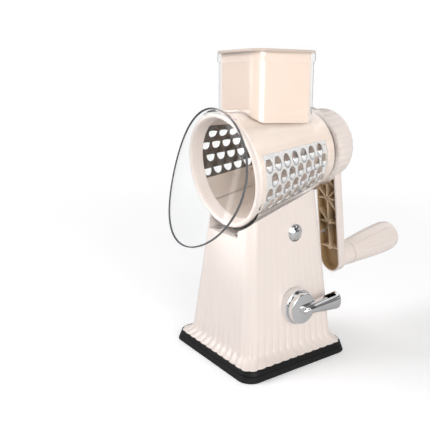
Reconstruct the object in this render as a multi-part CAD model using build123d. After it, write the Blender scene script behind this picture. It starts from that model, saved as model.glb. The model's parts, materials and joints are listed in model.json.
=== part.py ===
from build123d import *
import math
import os

os.makedirs("parts", exist_ok=True)

# All sizes in mm. z = 0 is the table, -Y is the drum's open end, +Y the crank.

# Drum axis: it passes through (0, axisY, axisZ) and rises to the rear
axisY = -47.0
axisZ = 189.2
axisTilt = 8.0
halfAngle = 8.0             # of the drum's cone
drumR = 53.9                # outer radius where s = 0
slope = math.tan(math.radians(halfAngle))
wallT = 2.4                 # of the drum's two halves
halfS0, halfS1 = 3.4, 109.4  # start and end of the halves along the axis

# Blade panels, one in each half
panelT = 0.6
panelS0, panelS1 = 8.6, 96.6
panelMid = -16.5            # angle of the near panel's middle
panelSpan = 74.0
panelLap = 1.6              # rests on this much of the half
rowAngles = (8.6, -7.0, -22.3, -37.6)
rowStarts = (14.1, 19.9, 14.1, 19.9)
toothPitch = 11.9
teethPerRow = 7
toothW = 9.2
toothL = 13.8
toothH = 1.6
toothSkin = 0.5

# Clear housing round the drum
sleeveGap = 2.0
sleeveT = 2.2
sleeveS0, sleeveS1 = 0.5, 113.0
rearWallT = 2.2
hopperX = 33.5
hopperY0, hopperY1 = -35.8, 39.9
hopperT = 2.2
rimZ0, rimZ1 = 289.5, 297.5
rimOut = 1.5
flareZ1, flareOut = 243.0, 7.0   # the hopper widens below this to meet the sleeve
sleeveAdd = sleeveGap + sleeveT
seatGap = 0.15              # housing to tower

# Base
padHalfX, padHalfY = 65.65, 66.5
padZ1 = 5.6
baseDraft = math.tan(math.radians(15))
baseCorner = 14.0
membraneZ = 2.0
padRecessR = 40.0

# Tower, half widths fall with height
baseHalfX, fallX = 54.1, 0.127
baseFront, fallFront = 56.5, 0.093
baseRear, fallRear = 59.2, 0.078
skirtZ = 10.4
skirtHalfX, skirtHalfY = padHalfX - 4.15, padHalfY - 3.5
coveZ = 22.0
towerTopZ = 185.0
towerT = 3.2
lobes = 48
lobeDeep, lobeShallow = 1.5, 0.5

# Foot channel under the sleeve
chanX0, chanX1 = -29.0, 19.0
chanZ = 127.0
chanY1 = 36.0
webT = 2.4
webXs = (12.0, -22.0)

# Lever, its shaft and the suction stem
leverY, leverZ = 5.8, 57.7
collarR, hubR = 17.5, 15.2
collarX1, hubX1 = 53.8, 60.2
leverEndX = 66.0
leverLen = 46.0
shaftR = 4.5
camR = 8.5
camRise = 4.0               # of the stem over the lever's 90 degrees
camE = camRise / 2 / math.sin(math.radians(45))
yokeClear = 0.15
stemR = 5.0

# Release button
buttonY, buttonZ = 11.4, 128.1
bezelR, bezelT = 8.75, 1.15
buttonGap = 0.3
buttonStemR = 4.2
runFit = 0.06
buttonTravel = 3.0

# Splash guard
guardLean = 14.9
guardAhead, guardRise = 4.5, 1.7   # its top edge from the sleeve's front top edge
guardBend = 185.0
guardHalfX, guardHalfZ = 59.2, 65.0
guardT = 2.0

# Crank and grip
hubKnobR = 37.2
knobS0, knobS1 = 114.2, 141.0
knobLobes = 28
armS0, armS1 = 131.0, 141.0
armHalf = 15.0
armLen = 134.0
armWall = 2.0
bossS1 = 159.3
gripS0, gripS1 = 159.7, 237.0
gripR0, gripR1 = 14.1, 17.9
gripBulgeS = 222.0
spindleR = 4.0

axisPlace = Location((0, axisY, axisZ), (axisTilt, 0, 0))


def coneR(s, extra=0.0):
    return drumR + extra - slope * s


def loop(points):
    return make_face(Polyline(*points, close=True))


def turned(points, arc=360.0, top=0.0):
    # Revolves (radius, s) points about the drum axis; top is the upper angle
    return Rot(0, -top, 0) * revolve(loop(points), axis=Axis.Y, revolution_arc=arc)


def coneBand(s0, s1, outer, inner, arc=360.0, top=0.0):
    points = [(coneR(s0, inner), s0), (coneR(s0, outer), s0)]
    points += [(coneR(s1, outer), s1), (coneR(s1, inner), s1)]
    return turned(points, arc, top)


def coneSolid(s0, s1, extra):
    return turned([(0, s0), (coneR(s0, extra), s0), (coneR(s1, extra), s1), (0, s1)])


def rod(radius, s0, s1):
    return turned([(0, s0), (radius, s0), (radius, s1), (0, s1)])


def tube(outer, inner, s0, s1):
    return turned([(inner, s0), (outer, s0), (outer, s1), (inner, s1)])


def domed(radius, y0, y1, top, steps=3):
    # A disc about Y with a round end, in a few short runs
    h = top - y1
    big = (radius ** 2 + h ** 2) / (2 * h)
    points = [(0, y0), (radius, y0)]
    for k in range(steps):
        turn = math.asin(radius / big) * (1 - k / steps)
        points.append((big * math.sin(turn), top - big + big * math.cos(turn)))
    return turned(points + [(0, top)])


def onAxis(shape):
    return axisPlace * shape


def block(x0, x1, y0, y1, z0, z1):
    middle = Pos((x0 + x1) / 2, (y0 + y1) / 2, (z0 + z1) / 2)
    return middle * Box(x1 - x0, y1 - y0, z1 - z0)


def alongX(radius, x0, x1, y, z):
    return Pos((x0 + x1) / 2, y, z) * Rot(0, 90, 0) * Cylinder(radius, x1 - x0)


def upright(radius, z0, z1, x, y):
    return Pos(x, y, (z0 + z1) / 2) * Cylinder(radius, z1 - z0)


def roundedRect(z, halfX, y0, y1, corner):
    sketch = RectangleRounded(2 * halfX, y1 - y0, corner)
    return Pos(0, (y0 + y1) / 2, z) * sketch


def outlinePoint(f, halfX, y0, y1, corner, inset):
    # Point at fraction f of a rounded rectangle, moved inward by inset
    w = 2 * (halfX - corner)
    h = y1 - y0 - 2 * corner
    q = math.pi * corner / 2
    lengths = (h / 2, q, w, q, h, q, w, q, h / 2)
    d = (f % 1.0) * sum(lengths)
    k = 0
    while k < 8 and d > lengths[k]:
        d -= lengths[k]
        k += 1
    cy = (y0 + y1) / 2
    r = corner - inset
    if k == 0:
        return halfX - inset, cy + d
    if k == 8:
        return halfX - inset, y0 + corner + d
    if k == 2:
        return halfX - corner - d, y1 - inset
    if k == 4:
        return -halfX + inset, y1 - corner - d
    if k == 6:
        return -halfX + corner + d, y0 + inset
    turn = d / corner + (k - 1) / 2 * math.pi / 2
    centreX = halfX - corner if k in (1, 7) else -halfX + corner
    centreY = y1 - corner if k in (1, 3) else y0 + corner
    return centreX + r * math.cos(turn), centreY + r * math.sin(turn)


def lobedFace(z, halfX, y0, y1, corner, deep):
    # Each lobe is three short runs between two cusps
    points = []
    for k in range(lobes):
        for part, inset in ((0, deep), (1 / 3, 0.1 * deep), (2 / 3, 0.1 * deep)):
            points.append((*outlinePoint((k + part) / lobes, halfX, y0, y1, corner, inset), z))
    return Face(Wire(Polyline(*points, close=True).edges()))


def towerAt(z):
    return baseHalfX - fallX * z, -(baseFront - fallFront * z), baseRear - fallRear * z


# ---------- suction pad and base plate ----------
def draftHalf(z):
    return padHalfX - baseDraft * z, padHalfY - baseDraft * z


def draftedSlab(z0, z1, inset=0.0):
    faces = []
    for z in (z0, z1):
        hx, hy = draftHalf(z)
        faces.append(roundedRect(z, hx - inset, -hy + inset, hy - inset, baseCorner))
    return loft(faces)


pad = draftedSlab(0, padZ1) - upright(padRecessR, membraneZ, padZ1 + 1, 0, 0)

grooveZ = 0.7
basePlate = draftedSlab(padZ1, padZ1 + grooveZ, 0.9) + draftedSlab(padZ1 + grooveZ, skirtZ)
footR, footT = 14.0, 2.0
basePlate -= upright(footR + 2, padZ1 - 1, membraneZ + footT + camRise + 0.4, 0, leverY)
basePlate -= upright(stemR + runFit, 0, 20, 0, leverY)

# ---------- tower ----------
sections = []
cove = ((skirtZ, 0.0), (13.6, 0.62), (coveZ, 1.0))
for z, part in cove:
    hx, y0, y1 = towerAt(z)
    hx = skirtHalfX + (hx - skirtHalfX) * part
    y0 = -skirtHalfY + (y0 + skirtHalfY) * part
    y1 = skirtHalfY + (y1 - skirtHalfY) * part
    sections.append((z, hx, y0, y1, 12.0))
hx, y0, y1 = towerAt(towerTopZ)
sections.append((towerTopZ, hx, y0, y1, 10.0))

outerFaces = []
for k, (z, hx, y0, y1, corner) in enumerate(sections):
    deep = lobeDeep if z <= coveZ else lobeShallow
    outerFaces.append(lobedFace(z, hx, y0, y1, corner, deep))
towerOuter = loft(outerFaces, ruled=True)

innerFaces = []
for z, hx, y0, y1, corner in sections:
    t = towerT
    innerFaces.append(roundedRect(z, hx - t, y0 + t, y1 - t, corner - t))
cavity = loft(innerFaces, ruled=True)

sleeveCut = onAxis(coneSolid(-40, 150, sleeveAdd + seatGap))
roofT = 3.2
roofCut = onAxis(coneSolid(-40, 150, sleeveAdd + seatGap + roofT))
chanOuter = block(chanX0 - 3, chanX1 + 3, -80, chanY1 + 3, chanZ - 3, 220)
channel = block(chanX0, chanX1, -80, chanY1, chanZ, 220)
hollow = cavity - roofCut - chanOuter
tower = towerOuter - sleeveCut - hollow - channel

hookHalfY = 4.0
hookX0, hookX1 = 1.0, 4.5
slotX0, slotX1 = hookX0 - buttonTravel - 0.8, hookX1 + 0.8
tower -= block(slotX0, slotX1, buttonY - hookHalfY - 0.6, buttonY + hookHalfY + 0.6, chanZ - 4, chanZ + 1)
tower -= alongX(bezelR, 28, 60, buttonY, buttonZ)
tower -= alongX(shaftR + 0.4, 20, collarX1, leverY, leverZ)
collarSeat = 2.0
faceX = towerAt(leverZ)[0]
tower -= alongX(collarR, faceX - collarSeat + 1.0, collarX1 + 20, leverY, leverZ)

# ---------- clear housing: hopper, sleeve and foot ----------
hopperOuter = Pos(0, (hopperY0 + hopperY1) / 2, 190) * extrude(
    RectangleRounded(2 * hopperX, hopperY1 - hopperY0, 5.0), rimZ1 - 190)
hopperInner = Pos(0, (hopperY0 + hopperY1) / 2, 190) * extrude(
    RectangleRounded(2 * (hopperX - hopperT), hopperY1 - hopperY0 - 2 * hopperT, 2.8), 120)
rim = Pos(0, (hopperY0 + hopperY1) / 2, rimZ0) * extrude(
    RectangleRounded(2 * (hopperX + rimOut), hopperY1 - hopperY0 + 2 * rimOut, 6.5), rimZ1 - rimZ0)
rim = chamfer(rim.faces().sort_by(Axis.Z)[0].edges(), rimOut * 0.8)
bushR = 9.5
sleevePoints = [(coneR(sleeveS0, sleeveGap), sleeveS0), (coneR(sleeveS0, sleeveAdd), sleeveS0)]
sleevePoints += [(coneR(sleeveS1, sleeveAdd), sleeveS1), (bushR, sleeveS1)]
sleevePoints += [(bushR, sleeveS1 - rearWallT), (coneR(sleeveS1 - rearWallT, sleeveGap), sleeveS1 - rearWallT)]
sleeve = onAxis(turned(sleevePoints))
flare = []
for z, out in ((flareZ1, 0.0), (flareZ1 - 9, 1.6), (flareZ1 - 18, flareOut)):
    face = RectangleRounded(2 * (hopperX + out), hopperY1 - hopperY0 + 2 * out, 5.0 + out)
    flare.append(Pos(0, (hopperY0 + hopperY1) / 2, z) * face)
upper = hopperOuter + rim + loft(flare, ruled=True) - hopperInner - onAxis(coneSolid(-20, 140, sleeveGap + 0.2))
housing = sleeve - hopperInner + upper

webCut = onAxis(coneSolid(-40, 150, sleeveGap + 0.5))
for x in webXs:
    web = block(x - webT / 2, x + webT / 2, -41, chanY1 - 3, chanZ + 0.2, 190)
    rail = block(x - 3.2, x + 3.2, -41, chanY1 - 3, chanZ + 0.2, chanZ + 2.2)
    housing += (web + rail) - webCut
noseZ0, noseZ1 = chanZ + 5.0, chanZ + 8.5
catch = block(webXs[0] - 4, webXs[0] + 4, buttonY - hookHalfY - 0.8, buttonY + hookHalfY + 0.8,
              noseZ0 - 0.6, noseZ1 + 0.6)
housing -= catch
railGap = block(webXs[0] - 12, webXs[0] - webT / 2, buttonY - hookHalfY - 0.8,
                buttonY + hookHalfY + 0.8, chanZ, chanZ + 3)
housing -= railGap

# ---------- splash guard, held by a hook on the sleeve's front top ----------
tiltSin, tiltCos = math.sin(math.radians(axisTilt)), math.cos(math.radians(axisTilt))
leanSin, leanCos = math.sin(math.radians(guardLean)), math.cos(math.radians(guardLean))
sleeveR = coneR(sleeveS0, sleeveAdd)
guardTopY = axisY + sleeveS0 * tiltCos - sleeveR * tiltSin - guardAhead
guardTopZ = axisZ + sleeveS0 * tiltSin + sleeveR * tiltCos + guardRise
guardMid = (0, guardTopY - guardHalfZ * leanSin, guardTopZ - guardHalfZ * leanCos)
guardPlace = Location(guardMid, (-guardLean, 0, 0))


def guardSheet(extra):
    tall = 2 * guardHalfZ + 20
    outer = Pos(0, guardBend, 0) * Cylinder(guardBend + guardT / 2 + extra, tall)
    inner = Pos(0, guardBend, 0) * Cylinder(guardBend - guardT / 2 - extra, tall + 2)
    oval = Plane.XZ * Ellipse(guardHalfX + extra, guardHalfZ + extra)
    prism = Pos(0, 30, 0) * extrude(oval, 60)
    return guardPlace * ((outer - inner) & prism)


guard = guardSheet(0)
hookR0 = coneR(0, sleeveGap + 0.2)
hookHalf, hookOut = 6.5, 3.0
hookS0 = -guardAhead - guardT - 0.7
hook = onAxis(block(-hookHalf, hookHalf, hookS0, 5, hookR0 - 5, hookR0 + 9))
hook = hook & onAxis(tube(coneR(0, sleeveAdd) + hookOut, hookR0, hookS0 - 1, 6))
housing += hook
housing -= guardSheet(0.05)

# ---------- shaft bushing ----------
driveR = 6.5
bushing = onAxis(tube(bushR, driveR + runFit, sleeveS1 - rearWallT - 0.4, sleeveS1)
                 + tube(bushR + 2.5, driveR + runFit, sleeveS1, sleeveS1 + 0.6))

# ---------- button, bezel, latch ----------
bezelX1 = towerAt(buttonZ)[0] + bezelT
bezel = alongX(bezelR, 33.0, bezelX1, buttonY, buttonZ)
bezel = chamfer(bezel.faces().sort_by(Axis.X)[-1].edges(), 0.7)
bezel -= alongX(bezelR - 1.15, 30, 60, buttonY, buttonZ)
buttonR = bezelR - 1.15 - buttonGap
domeH = 2.6
buttonTop = bezelX1 + domeH
skirtX = bezelX1 - 1.0
button = Pos(0, buttonY, buttonZ) * Rot(0, 0, -90) * domed(buttonR, skirtX - 1.2, bezelX1, buttonTop)
riserX0, riserX1 = chanX1 + 3 + buttonTravel + 0.4, chanX1 + 3 + buttonTravel + 3.0
button += alongX(buttonStemR, riserX1, skirtX - 1.2, buttonY, buttonZ)
guideX0 = riserX1 + 0.6
guide = block(guideX0, 40, buttonY - 7, buttonY + 7, buttonZ - 7.5, buttonZ + 7.5) & cavity
guide -= alongX(buttonStemR + runFit, 20, 50, buttonY, buttonZ)
guide -= alongX(bezelR, 33.0, 50, buttonY, buttonZ)
plateZ0, plateZ1 = chanZ - 8.5, chanZ - 5.5
latch = block(hookX0, riserX1, buttonY - hookHalfY, buttonY + hookHalfY, plateZ0, plateZ1)
latch += block(riserX0, riserX1, buttonY - hookHalfY, buttonY + hookHalfY, plateZ1, buttonZ + 4)
latch += block(hookX0, hookX1, buttonY - hookHalfY, buttonY + hookHalfY, plateZ1, noseZ1)
nose = block(hookX1, webXs[0] + 0.4, buttonY - hookHalfY, buttonY + hookHalfY, noseZ0, noseZ1)
latch += nose

# ---------- lever, shaft, cam, bracket and stem ----------
collar = alongX(collarR, faceX - collarSeat + 1.0, collarX1, leverY, leverZ)
collar = chamfer(collar.faces().sort_by(Axis.X)[-1].edges(), 0.5)
collar -= alongX(shaftR + runFit, 20, 80, leverY, leverZ)
hub = alongX(hubR, collarX1 + 0.2, hubX1, leverY, leverZ)
hub = chamfer(hub.faces().sort_by(Axis.X)[-1].edges(), 0.8)
shaftX0 = -19.0
hub -= alongX(shaftR, 40, hubX1 - 2.0, leverY, leverZ)
camShaft = alongX(shaftR, shaftX0, hubX1 - 2.0, leverY, leverZ)
camAngle = math.radians(-45)
camY, camZ = leverY + camE * math.cos(camAngle), leverZ + camE * math.sin(camAngle)
camHalf = 3.6
cam = alongX(camR, -camHalf, camHalf, camY, camZ) - alongX(shaftR, -20, 20, leverY, leverZ)
cam += alongX(shaftR + 2.2, camHalf, camHalf + 4, leverY, leverZ) - alongX(shaftR, -20, 20, leverY, leverZ)


def leverSection(y, half, deep, back=0.0):
    # Half-round outside, flat back
    points = [(leverEndX - deep, y, leverZ - 1 + half), (leverEndX - deep, y, leverZ - 1 - half)]
    side = deep * 0.45
    for k in range(7):
        turn = math.radians(-90 + 30 * k)
        x = leverEndX - deep - back + side + (deep - side) * math.cos(turn)
        points.append((x, y, leverZ - 1 + half * math.sin(turn)))
    return Face(Wire(Polyline(*points, close=True).edges()))


armY0, armY1 = leverY - 3.0, leverY + leverLen
leverArm = loft([leverSection(armY0, 3.0, 7.0, 1.4), leverSection(armY0 + 2.5, 4.2, 8.4),
                 leverSection(armY1 - 1.5, 8.7, 9.4), leverSection(armY1, 8.0, 8.8, 0.6)], ruled=True)
leverArm -= alongX(hubR + 0.05, 40, hubX1, leverY, leverZ)
leverArm -= block(leverEndX - 7.4, leverEndX - 2.6, armY1 - 17, armY1 - 5, leverZ - 5, leverZ + 20)

cheekT = 4.0
cheekX = camHalf + 8.5
bracket = block(-cheekX - cheekT, cheekX + cheekT, leverY - 20, leverY + 20, skirtZ, skirtZ + 3)
for x0 in (-cheekX - cheekT, cheekX):
    cheek = block(x0, x0 + cheekT, leverY - 12, leverY + 12, skirtZ + 3, leverZ)
    cheek += alongX(12, x0, x0 + cheekT, leverY, leverZ)
    bracket += cheek
bracket -= alongX(shaftR + runFit, -40, 40, leverY, leverZ)
bracket -= upright(stemR + 0.5, 0, 20, 0, leverY)
yokeZ = leverZ - camRise / 2
slotHalfY = camR + camE + 0.6
yokeHalfY, yokeHalfZ = slotHalfY + 3.4, camR + 4.0
stem = upright(footR, membraneZ, membraneZ + footT, 0, leverY)
stem += upright(stemR, membraneZ + footT, yokeZ - yokeHalfZ + 1, 0, leverY)
stem += block(-camHalf, camHalf, leverY - yokeHalfY, leverY + yokeHalfY, yokeZ - yokeHalfZ, yokeZ + yokeHalfZ)
slotHalfZ = camR + yokeClear
stem -= block(-20, 20, leverY - slotHalfY, leverY + slotHalfY, yokeZ - slotHalfZ, yokeZ + slotHalfZ)

# ---------- pusher ----------
pushGap = 0.5
pushX = hopperX - hopperT - pushGap
pushY0, pushY1 = hopperY0 + hopperT + pushGap, hopperY1 - hopperT - pushGap
pushT = 2.4
capT = 2.5
pushClear = 2.3


def pushPrism(inset, z0, z1, corner):
    body = RectangleRounded(2 * (pushX - inset), pushY1 - pushY0 - 2 * inset, corner)
    return Pos(0, (pushY0 + pushY1) / 2, z0) * extrude(body, z1 - z0)


pusher = pushPrism(0, 205, rimZ1, 2.6) - onAxis(coneSolid(-20, 150, pushClear))
pusher -= pushPrism(pushT, 205, 320, 1.2) - onAxis(coneSolid(-20, 150, pushClear + pushT))
cap = Pos(0, (hopperY0 + hopperY1) / 2, rimZ1) * extrude(
    RectangleRounded(2 * (hopperX + 0.9), hopperY1 - hopperY0 + 1.8, 5.6), capT)
cap = chamfer(cap.faces().sort_by(Axis.Z)[-1].edges(), 0.9)
cap += pushPrism(pushT, rimZ1 - 4, rimZ1, 1.2) - pushPrism(pushT + 2, rimZ1 - 5, rimZ1 - 0.01, 0.8)

# ---------- drum: ring, two halves, two blade panels, drive boss ----------
ringPoints = [(50.6, -1.8), (52.2, -3.6), (54.2, -3.5), (55.0, -1.6)]
ringPoints += [(coneR(halfS0) + 0.4, halfS0 - 0.1), (coneR(halfS0, -wallT), halfS0 - 0.1)]
ringPoints += [(coneR(9.2, -wallT) - 0.05, 9.2), (coneR(9.2, -wallT) - 1.5, 9.2), (50.0, 0.5)]
ring = turned(ringPoints)

rearT = 2.8
bossR = 14.0
shoulder = [(coneR(halfS1 - 3.6), halfS1 - 3.6), (coneR(halfS1) - 0.7, halfS1 - 1.2)]
shoulder += [(coneR(halfS1) - 2.8, halfS1)]
halfPoints = [(coneR(halfS0, -wallT), halfS0), (coneR(halfS0), halfS0)] + shoulder
halfPoints += [(bossR, halfS1), (bossR, halfS1 - rearT)]
halfPoints += [(coneR(halfS1 - rearT, -wallT), halfS1 - rearT)]
splitGap = 0.12             # degrees


def panelBand(s0, s1, outer, inner, span):
    return coneBand(s0, s1, outer, inner, span, panelMid + span / 2)


halfA = turned(halfPoints, 180 - splitGap, panelMid + 90 - splitGap / 2)
halfA -= panelBand(panelS0, panelS1, 1, -panelT - 0.25, panelSpan)
lapDeg = math.degrees(panelLap / drumR)
halfA -= panelBand(panelS0 + panelLap, panelS1 - panelLap, 1, -8, panelSpan - 2 * lapDeg)
nubAngle = panelMid + panelSpan / 2 + 5.0
for s in (40.0, 62.0):
    nub = Rot(0, -nubAngle, 0) * Pos(coneR(s, -wallT) - 0.4, s, 0) * Rot(0, 90, 0) * Cylinder(1.6, 1.6)
    halfA += nub
lineS = 9.4
for top in (panelMid - 62, panelMid + 64):
    halfA += coneBand(lineS, halfS1 - rearT, -wallT + 0.1, -wallT - 0.9, 1.4, top)


def halfOutline(a, b, lift, steps=4):
    points = []
    for k in range(steps + 1):
        t = math.pi + math.pi * k / steps
        points.append((a * math.cos(t), b * math.sin(t)))
    if lift > 0:
        points += [(a, lift), (-a, lift)]
    return points


def scoop(a, b, lift, x0, x1, shrink):
    low = Plane.YZ.offset(x0) * loop(halfOutline(a, b, lift))
    high = Plane.YZ.offset(x1) * loop(halfOutline(a * shrink, b * shrink, lift))
    return loft([low, high], ruled=True)


a, b = toothW / 2, toothL / 2
toothOuter = scoop(a, b, 0, -0.35, toothH, 0.70)
toothInner = scoop(a - 0.45, b - 0.6, 0.4, -0.36, toothH - toothSkin, 0.72)
toothInner += Pos(-2.2, 0, 0) * extrude(Plane.YZ * loop(halfOutline(a - 0.45, b - 0.6, 0.4)), 1.9)
archSteps = 4
archPoints = [(-a, -0.2), (a, -0.2)]
for k in range(1, archSteps):
    turn = math.pi * k / archSteps
    archPoints.append((a * math.cos(turn), b * math.sin(turn)))
arch = Pos(-2.2, 0, 0) * extrude(Plane.YZ * loop(archPoints), 4.4)
arch -= scoop(a + 0.1, b, 0, -3.0, 3.0, 1.0)

panel = panelBand(panelS0 + 0.1, panelS1 - 0.1, -0.25, -panelT - 0.25, panelSpan - 0.3)
raised, holes = [], []
for angle, start in zip(rowAngles, rowStarts):
    for k in range(teethPerRow):
        s = start + k * toothPitch
        place = Rot(0, -angle, 0) * Location((coneR(s) - 0.25, s, 0), (0, 0, halfAngle))
        raised.append(place * toothOuter)
        holes.append(place * toothInner)
        holes.append(place * arch)
panel = panel + raised
panel = panel - holes

flip = Rot(0, 180, 0)
halfB = flip * halfA
panelB = flip * panel
boss = rod(bossR + 7, halfS1 - rearT - 3.0, halfS1 - rearT) + rod(bossR, halfS1 - rearT, halfS1)
hexR = 6.8
hexBar = Plane.XZ * RegularPolygon(hexR, 6)
hexSocket = Pos(0, halfS1 + 5, 0) * extrude(Plane.XZ * RegularPolygon(hexR + 0.05, 6), 30)
boss -= hexSocket

# ---------- crank ----------
shaftS0 = halfS1 - 12.0
drive = Pos(0, 110.4, 0) * extrude(hexBar, 110.4 - shaftS0)
drive += rod(driveR, 110.4, knobS0 + 16)
drive -= rod(2.0, shaftS0 - 1, shaftS0 + 9)
nut = rod(8.6, shaftS0 - 2.4, shaftS0) + rod(2.0, shaftS0, shaftS0 + 8)
nut += Pos(0, shaftS0 - 2.4, 0) * extrude(Plane.XZ * RegularPolygon(4.6, 6), 3.4)


def knobFace(s, radius):
    points = []
    for k in range(knobLobes):
        for part, inset in ((0, 0.7), (1 / 3, 0.08), (2 / 3, 0.08)):
            turn = 2 * math.pi * (k + part) / knobLobes
            points.append(((radius - inset) * math.cos(turn), s, (radius - inset) * math.sin(turn)))
    return Face(Wire(Polyline(*points, close=True).edges()))


knobSteps = ((knobS0, -0.6), (knobS0 + 1.4, 0.4), (knobS1 - 6.5, -0.7), (knobS1 - 2.2, -2.4), (knobS1, -5.0))
knob = loft([knobFace(s, hubKnobR + change) for s, change in knobSteps], ruled=True)
knobWall = 2.6
knob -= tube(hubKnobR - 0.9 - knobWall, 12, knobS0 - 1, knobS1 - 3.4)
for k in range(6):
    spoke = Rot(0, 60 * k + 30, 0) * Pos(22, (knobS0 + 2 + knobS1 - 3.0) / 2, 0)
    knob += spoke * Box(26, knobS1 - 3.0 - knobS0 - 2, 1.8)

armPlane = Plane(origin=(0, armS1, 0), x_dir=(1, 0, 0), z_dir=(0, -1, 0))


def stadium(half, r0, r1):
    # In the arm's plane the grip's end is at -Z
    shape = Pos(0, -r1) * Circle(half)
    return shape + Pos(0, -(r0 + r1) / 2) * Rectangle(2 * half, r1 - r0)


arm = extrude(armPlane * stadium(armHalf, 0, armLen), armS1 - armS0)
pocketR0 = hubKnobR - 1.0
pocket = stadium(armHalf - armWall, pocketR0 + 2, armLen)
pocket = extrude(armPlane * pocket, armS1 - armS0 + 1)
arm -= pocket - rod(200, armS1 - 2.0, armS1 + 1)
ribT = 1.5
bossRs = (61.8, 89.3, 119.0)
ribS0 = armS0 + 1.2


def ribBetween(xa, ra, xb, rb):
    length = math.hypot(xb - xa, rb - ra)
    turn = math.degrees(math.atan2(rb - ra, xb - xa))
    bar = Box(length, armS1 - 1.0 - ribS0, ribT)
    return Pos((xa + xb) / 2, (armS1 - 1.0 + ribS0) / 2, -(ra + rb) / 2) * Rot(0, turn, 0) * bar


inside = armHalf - armWall + 0.5
ribs = [ribBetween(0, pocketR0, 0, bossRs[2])]
starts = (pocketR0 + 2,) + bossRs[:2]
for rBoss in bossRs:
    ribs.append(ribBetween(-inside, rBoss, inside, rBoss))
for ra, rb in zip(starts, bossRs):
    ribs.append(ribBetween(0, ra, inside, (ra + rb) / 2))
    ribs.append(ribBetween(0, ra, -inside, (ra + rb) / 2))
    ribs.append(ribBetween(inside, (ra + rb) / 2, 0, rb))
    ribs.append(ribBetween(-inside, (ra + rb) / 2, 0, rb))
for bar in ribs:
    arm += bar
for rBoss in bossRs:
    arm += Pos(0, 0, -rBoss) * rod(3.2, ribS0, armS1 - 1)
gripBoss = turned([(0, armS1 - 1), (12.4, armS1 - 1), (12.4, armS1 + 3), (13.9, bossS1 - 1.2),
                   (13.2, bossS1), (0, bossS1)])
arm += Pos(0, 0, -armLen) * gripBoss
crank = knob + arm
crank -= rod(driveR, 100, knobS0 + 16)
spindleS0 = armS1 - 1.2
crank -= Pos(0, 0, -armLen) * rod(spindleR, spindleS0, bossS1 + 5)

capCrank = rod(11.0, knobS1, knobS1 + 1.8)
capCrank = chamfer(capCrank.faces().sort_by(Axis.Y)[-1].edges(), 0.9)

spindleS1 = gripS1 - 14.0
spindle = rod(spindleR, spindleS0, spindleS1)
washerR = 6.4
washerS = spindleS1 - 3.0
spindle += tube(washerR, spindleR, washerS, washerS + 1.2)
spindle = Pos(0, 0, -armLen) * spindle

# ---------- grip ----------
capS = gripS1 - 7.0
profile = [(0, gripS0), (gripR0 - 0.9, gripS0), (gripR0, gripS0 + 1.0), (gripR0 + 2.3, gripS0 + 33)]
profile += [(gripR1, gripBulgeS), (gripR1 - 1.3, capS)]
gripBody = turned(profile + [(0, capS)])
gripBody -= rod(spindleR + 0.08, gripS0 - 1, capS + 1)
gripBody -= rod(washerR + 0.5, washerS - 0.3, capS + 1)
grooveCount = 8
for k in range(grooveCount):
    groove = Pos(gripR0 + 3.3, (gripS0 + 10 + capS - 6) / 2, 0) * Rot(0, 0, -2.6)
    groove = Rot(0, 360 / grooveCount * k + 10, 0) * groove * Box(3.4, capS - 16 - gripS0, 1.2)
    gripBody -= groove
capR = gripR1 - 1.35
gripCap = domed(capR, capS + 0.05, capS + 0.4, gripS1)
gripCap += rod(washerR + 0.45, capS - 5.0, capS + 0.1)
gripPlace = Pos(0, 0, -armLen)

nodes = {
    "suction_pad": pad,
    "base_plate": basePlate,
    "tower": tower,
    "cam_bracket": bracket,
    "lever_collar": collar,
    "button_bezel": bezel,
    "latch_guide": guide,
    "clear_housing": housing,
    "splash_guard": guard,
    "shaft_bushing": bushing,
    "lever_arm": leverArm,
    "lever_hub": hub,
    "cam_shaft": camShaft,
    "cam": cam,
    "suction_stem": stem,
    "release_button": button,
    "latch_slide": latch,
    "pusher_body": pusher,
    "pusher_cap": cap,
    "drum_ring": onAxis(ring),
    "drum_half_a": onAxis(halfA),
    "drum_half_b": onAxis(halfB),
    "blade_a": onAxis(panel),
    "blade_b": onAxis(panelB),
    "drum_boss": onAxis(boss),
    "drum_nut": onAxis(nut),
    "drive_shaft": onAxis(drive),
    "crank": onAxis(crank),
    "crank_cap": onAxis(capCrank),
    "grip_spindle": onAxis(spindle),
    "grip": onAxis(gripPlace * gripBody),
    "grip_cap": onAxis(gripPlace * gripCap),
}
for name, shape in nodes.items():
    export_step(shape, f"parts/{name}.step")
    box = shape.bounding_box()
    print(name, round(shape.volume, 1), [round(v, 1) for v in (*box.min, *box.max)])
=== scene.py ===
import bpy, bmesh, json, math
from mathutils import Matrix, Vector
from mathutils.geometry import delaunay_2d_cdt


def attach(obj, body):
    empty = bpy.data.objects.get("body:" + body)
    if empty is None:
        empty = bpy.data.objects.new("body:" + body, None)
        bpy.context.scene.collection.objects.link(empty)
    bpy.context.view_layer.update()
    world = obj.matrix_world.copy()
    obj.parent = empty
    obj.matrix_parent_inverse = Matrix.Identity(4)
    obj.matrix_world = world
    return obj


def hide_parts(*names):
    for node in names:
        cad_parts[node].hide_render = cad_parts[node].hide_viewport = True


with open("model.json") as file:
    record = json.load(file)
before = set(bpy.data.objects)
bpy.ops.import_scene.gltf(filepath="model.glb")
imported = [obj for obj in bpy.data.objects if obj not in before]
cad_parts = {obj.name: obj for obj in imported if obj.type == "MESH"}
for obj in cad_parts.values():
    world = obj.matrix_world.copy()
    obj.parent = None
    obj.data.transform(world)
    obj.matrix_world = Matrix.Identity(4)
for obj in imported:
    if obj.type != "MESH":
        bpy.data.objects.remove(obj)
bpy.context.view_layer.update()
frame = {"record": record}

print("frame loaded")

mm = 0.001  # shapes are written in millimetres and scaled once, when their mesh is made

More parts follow.
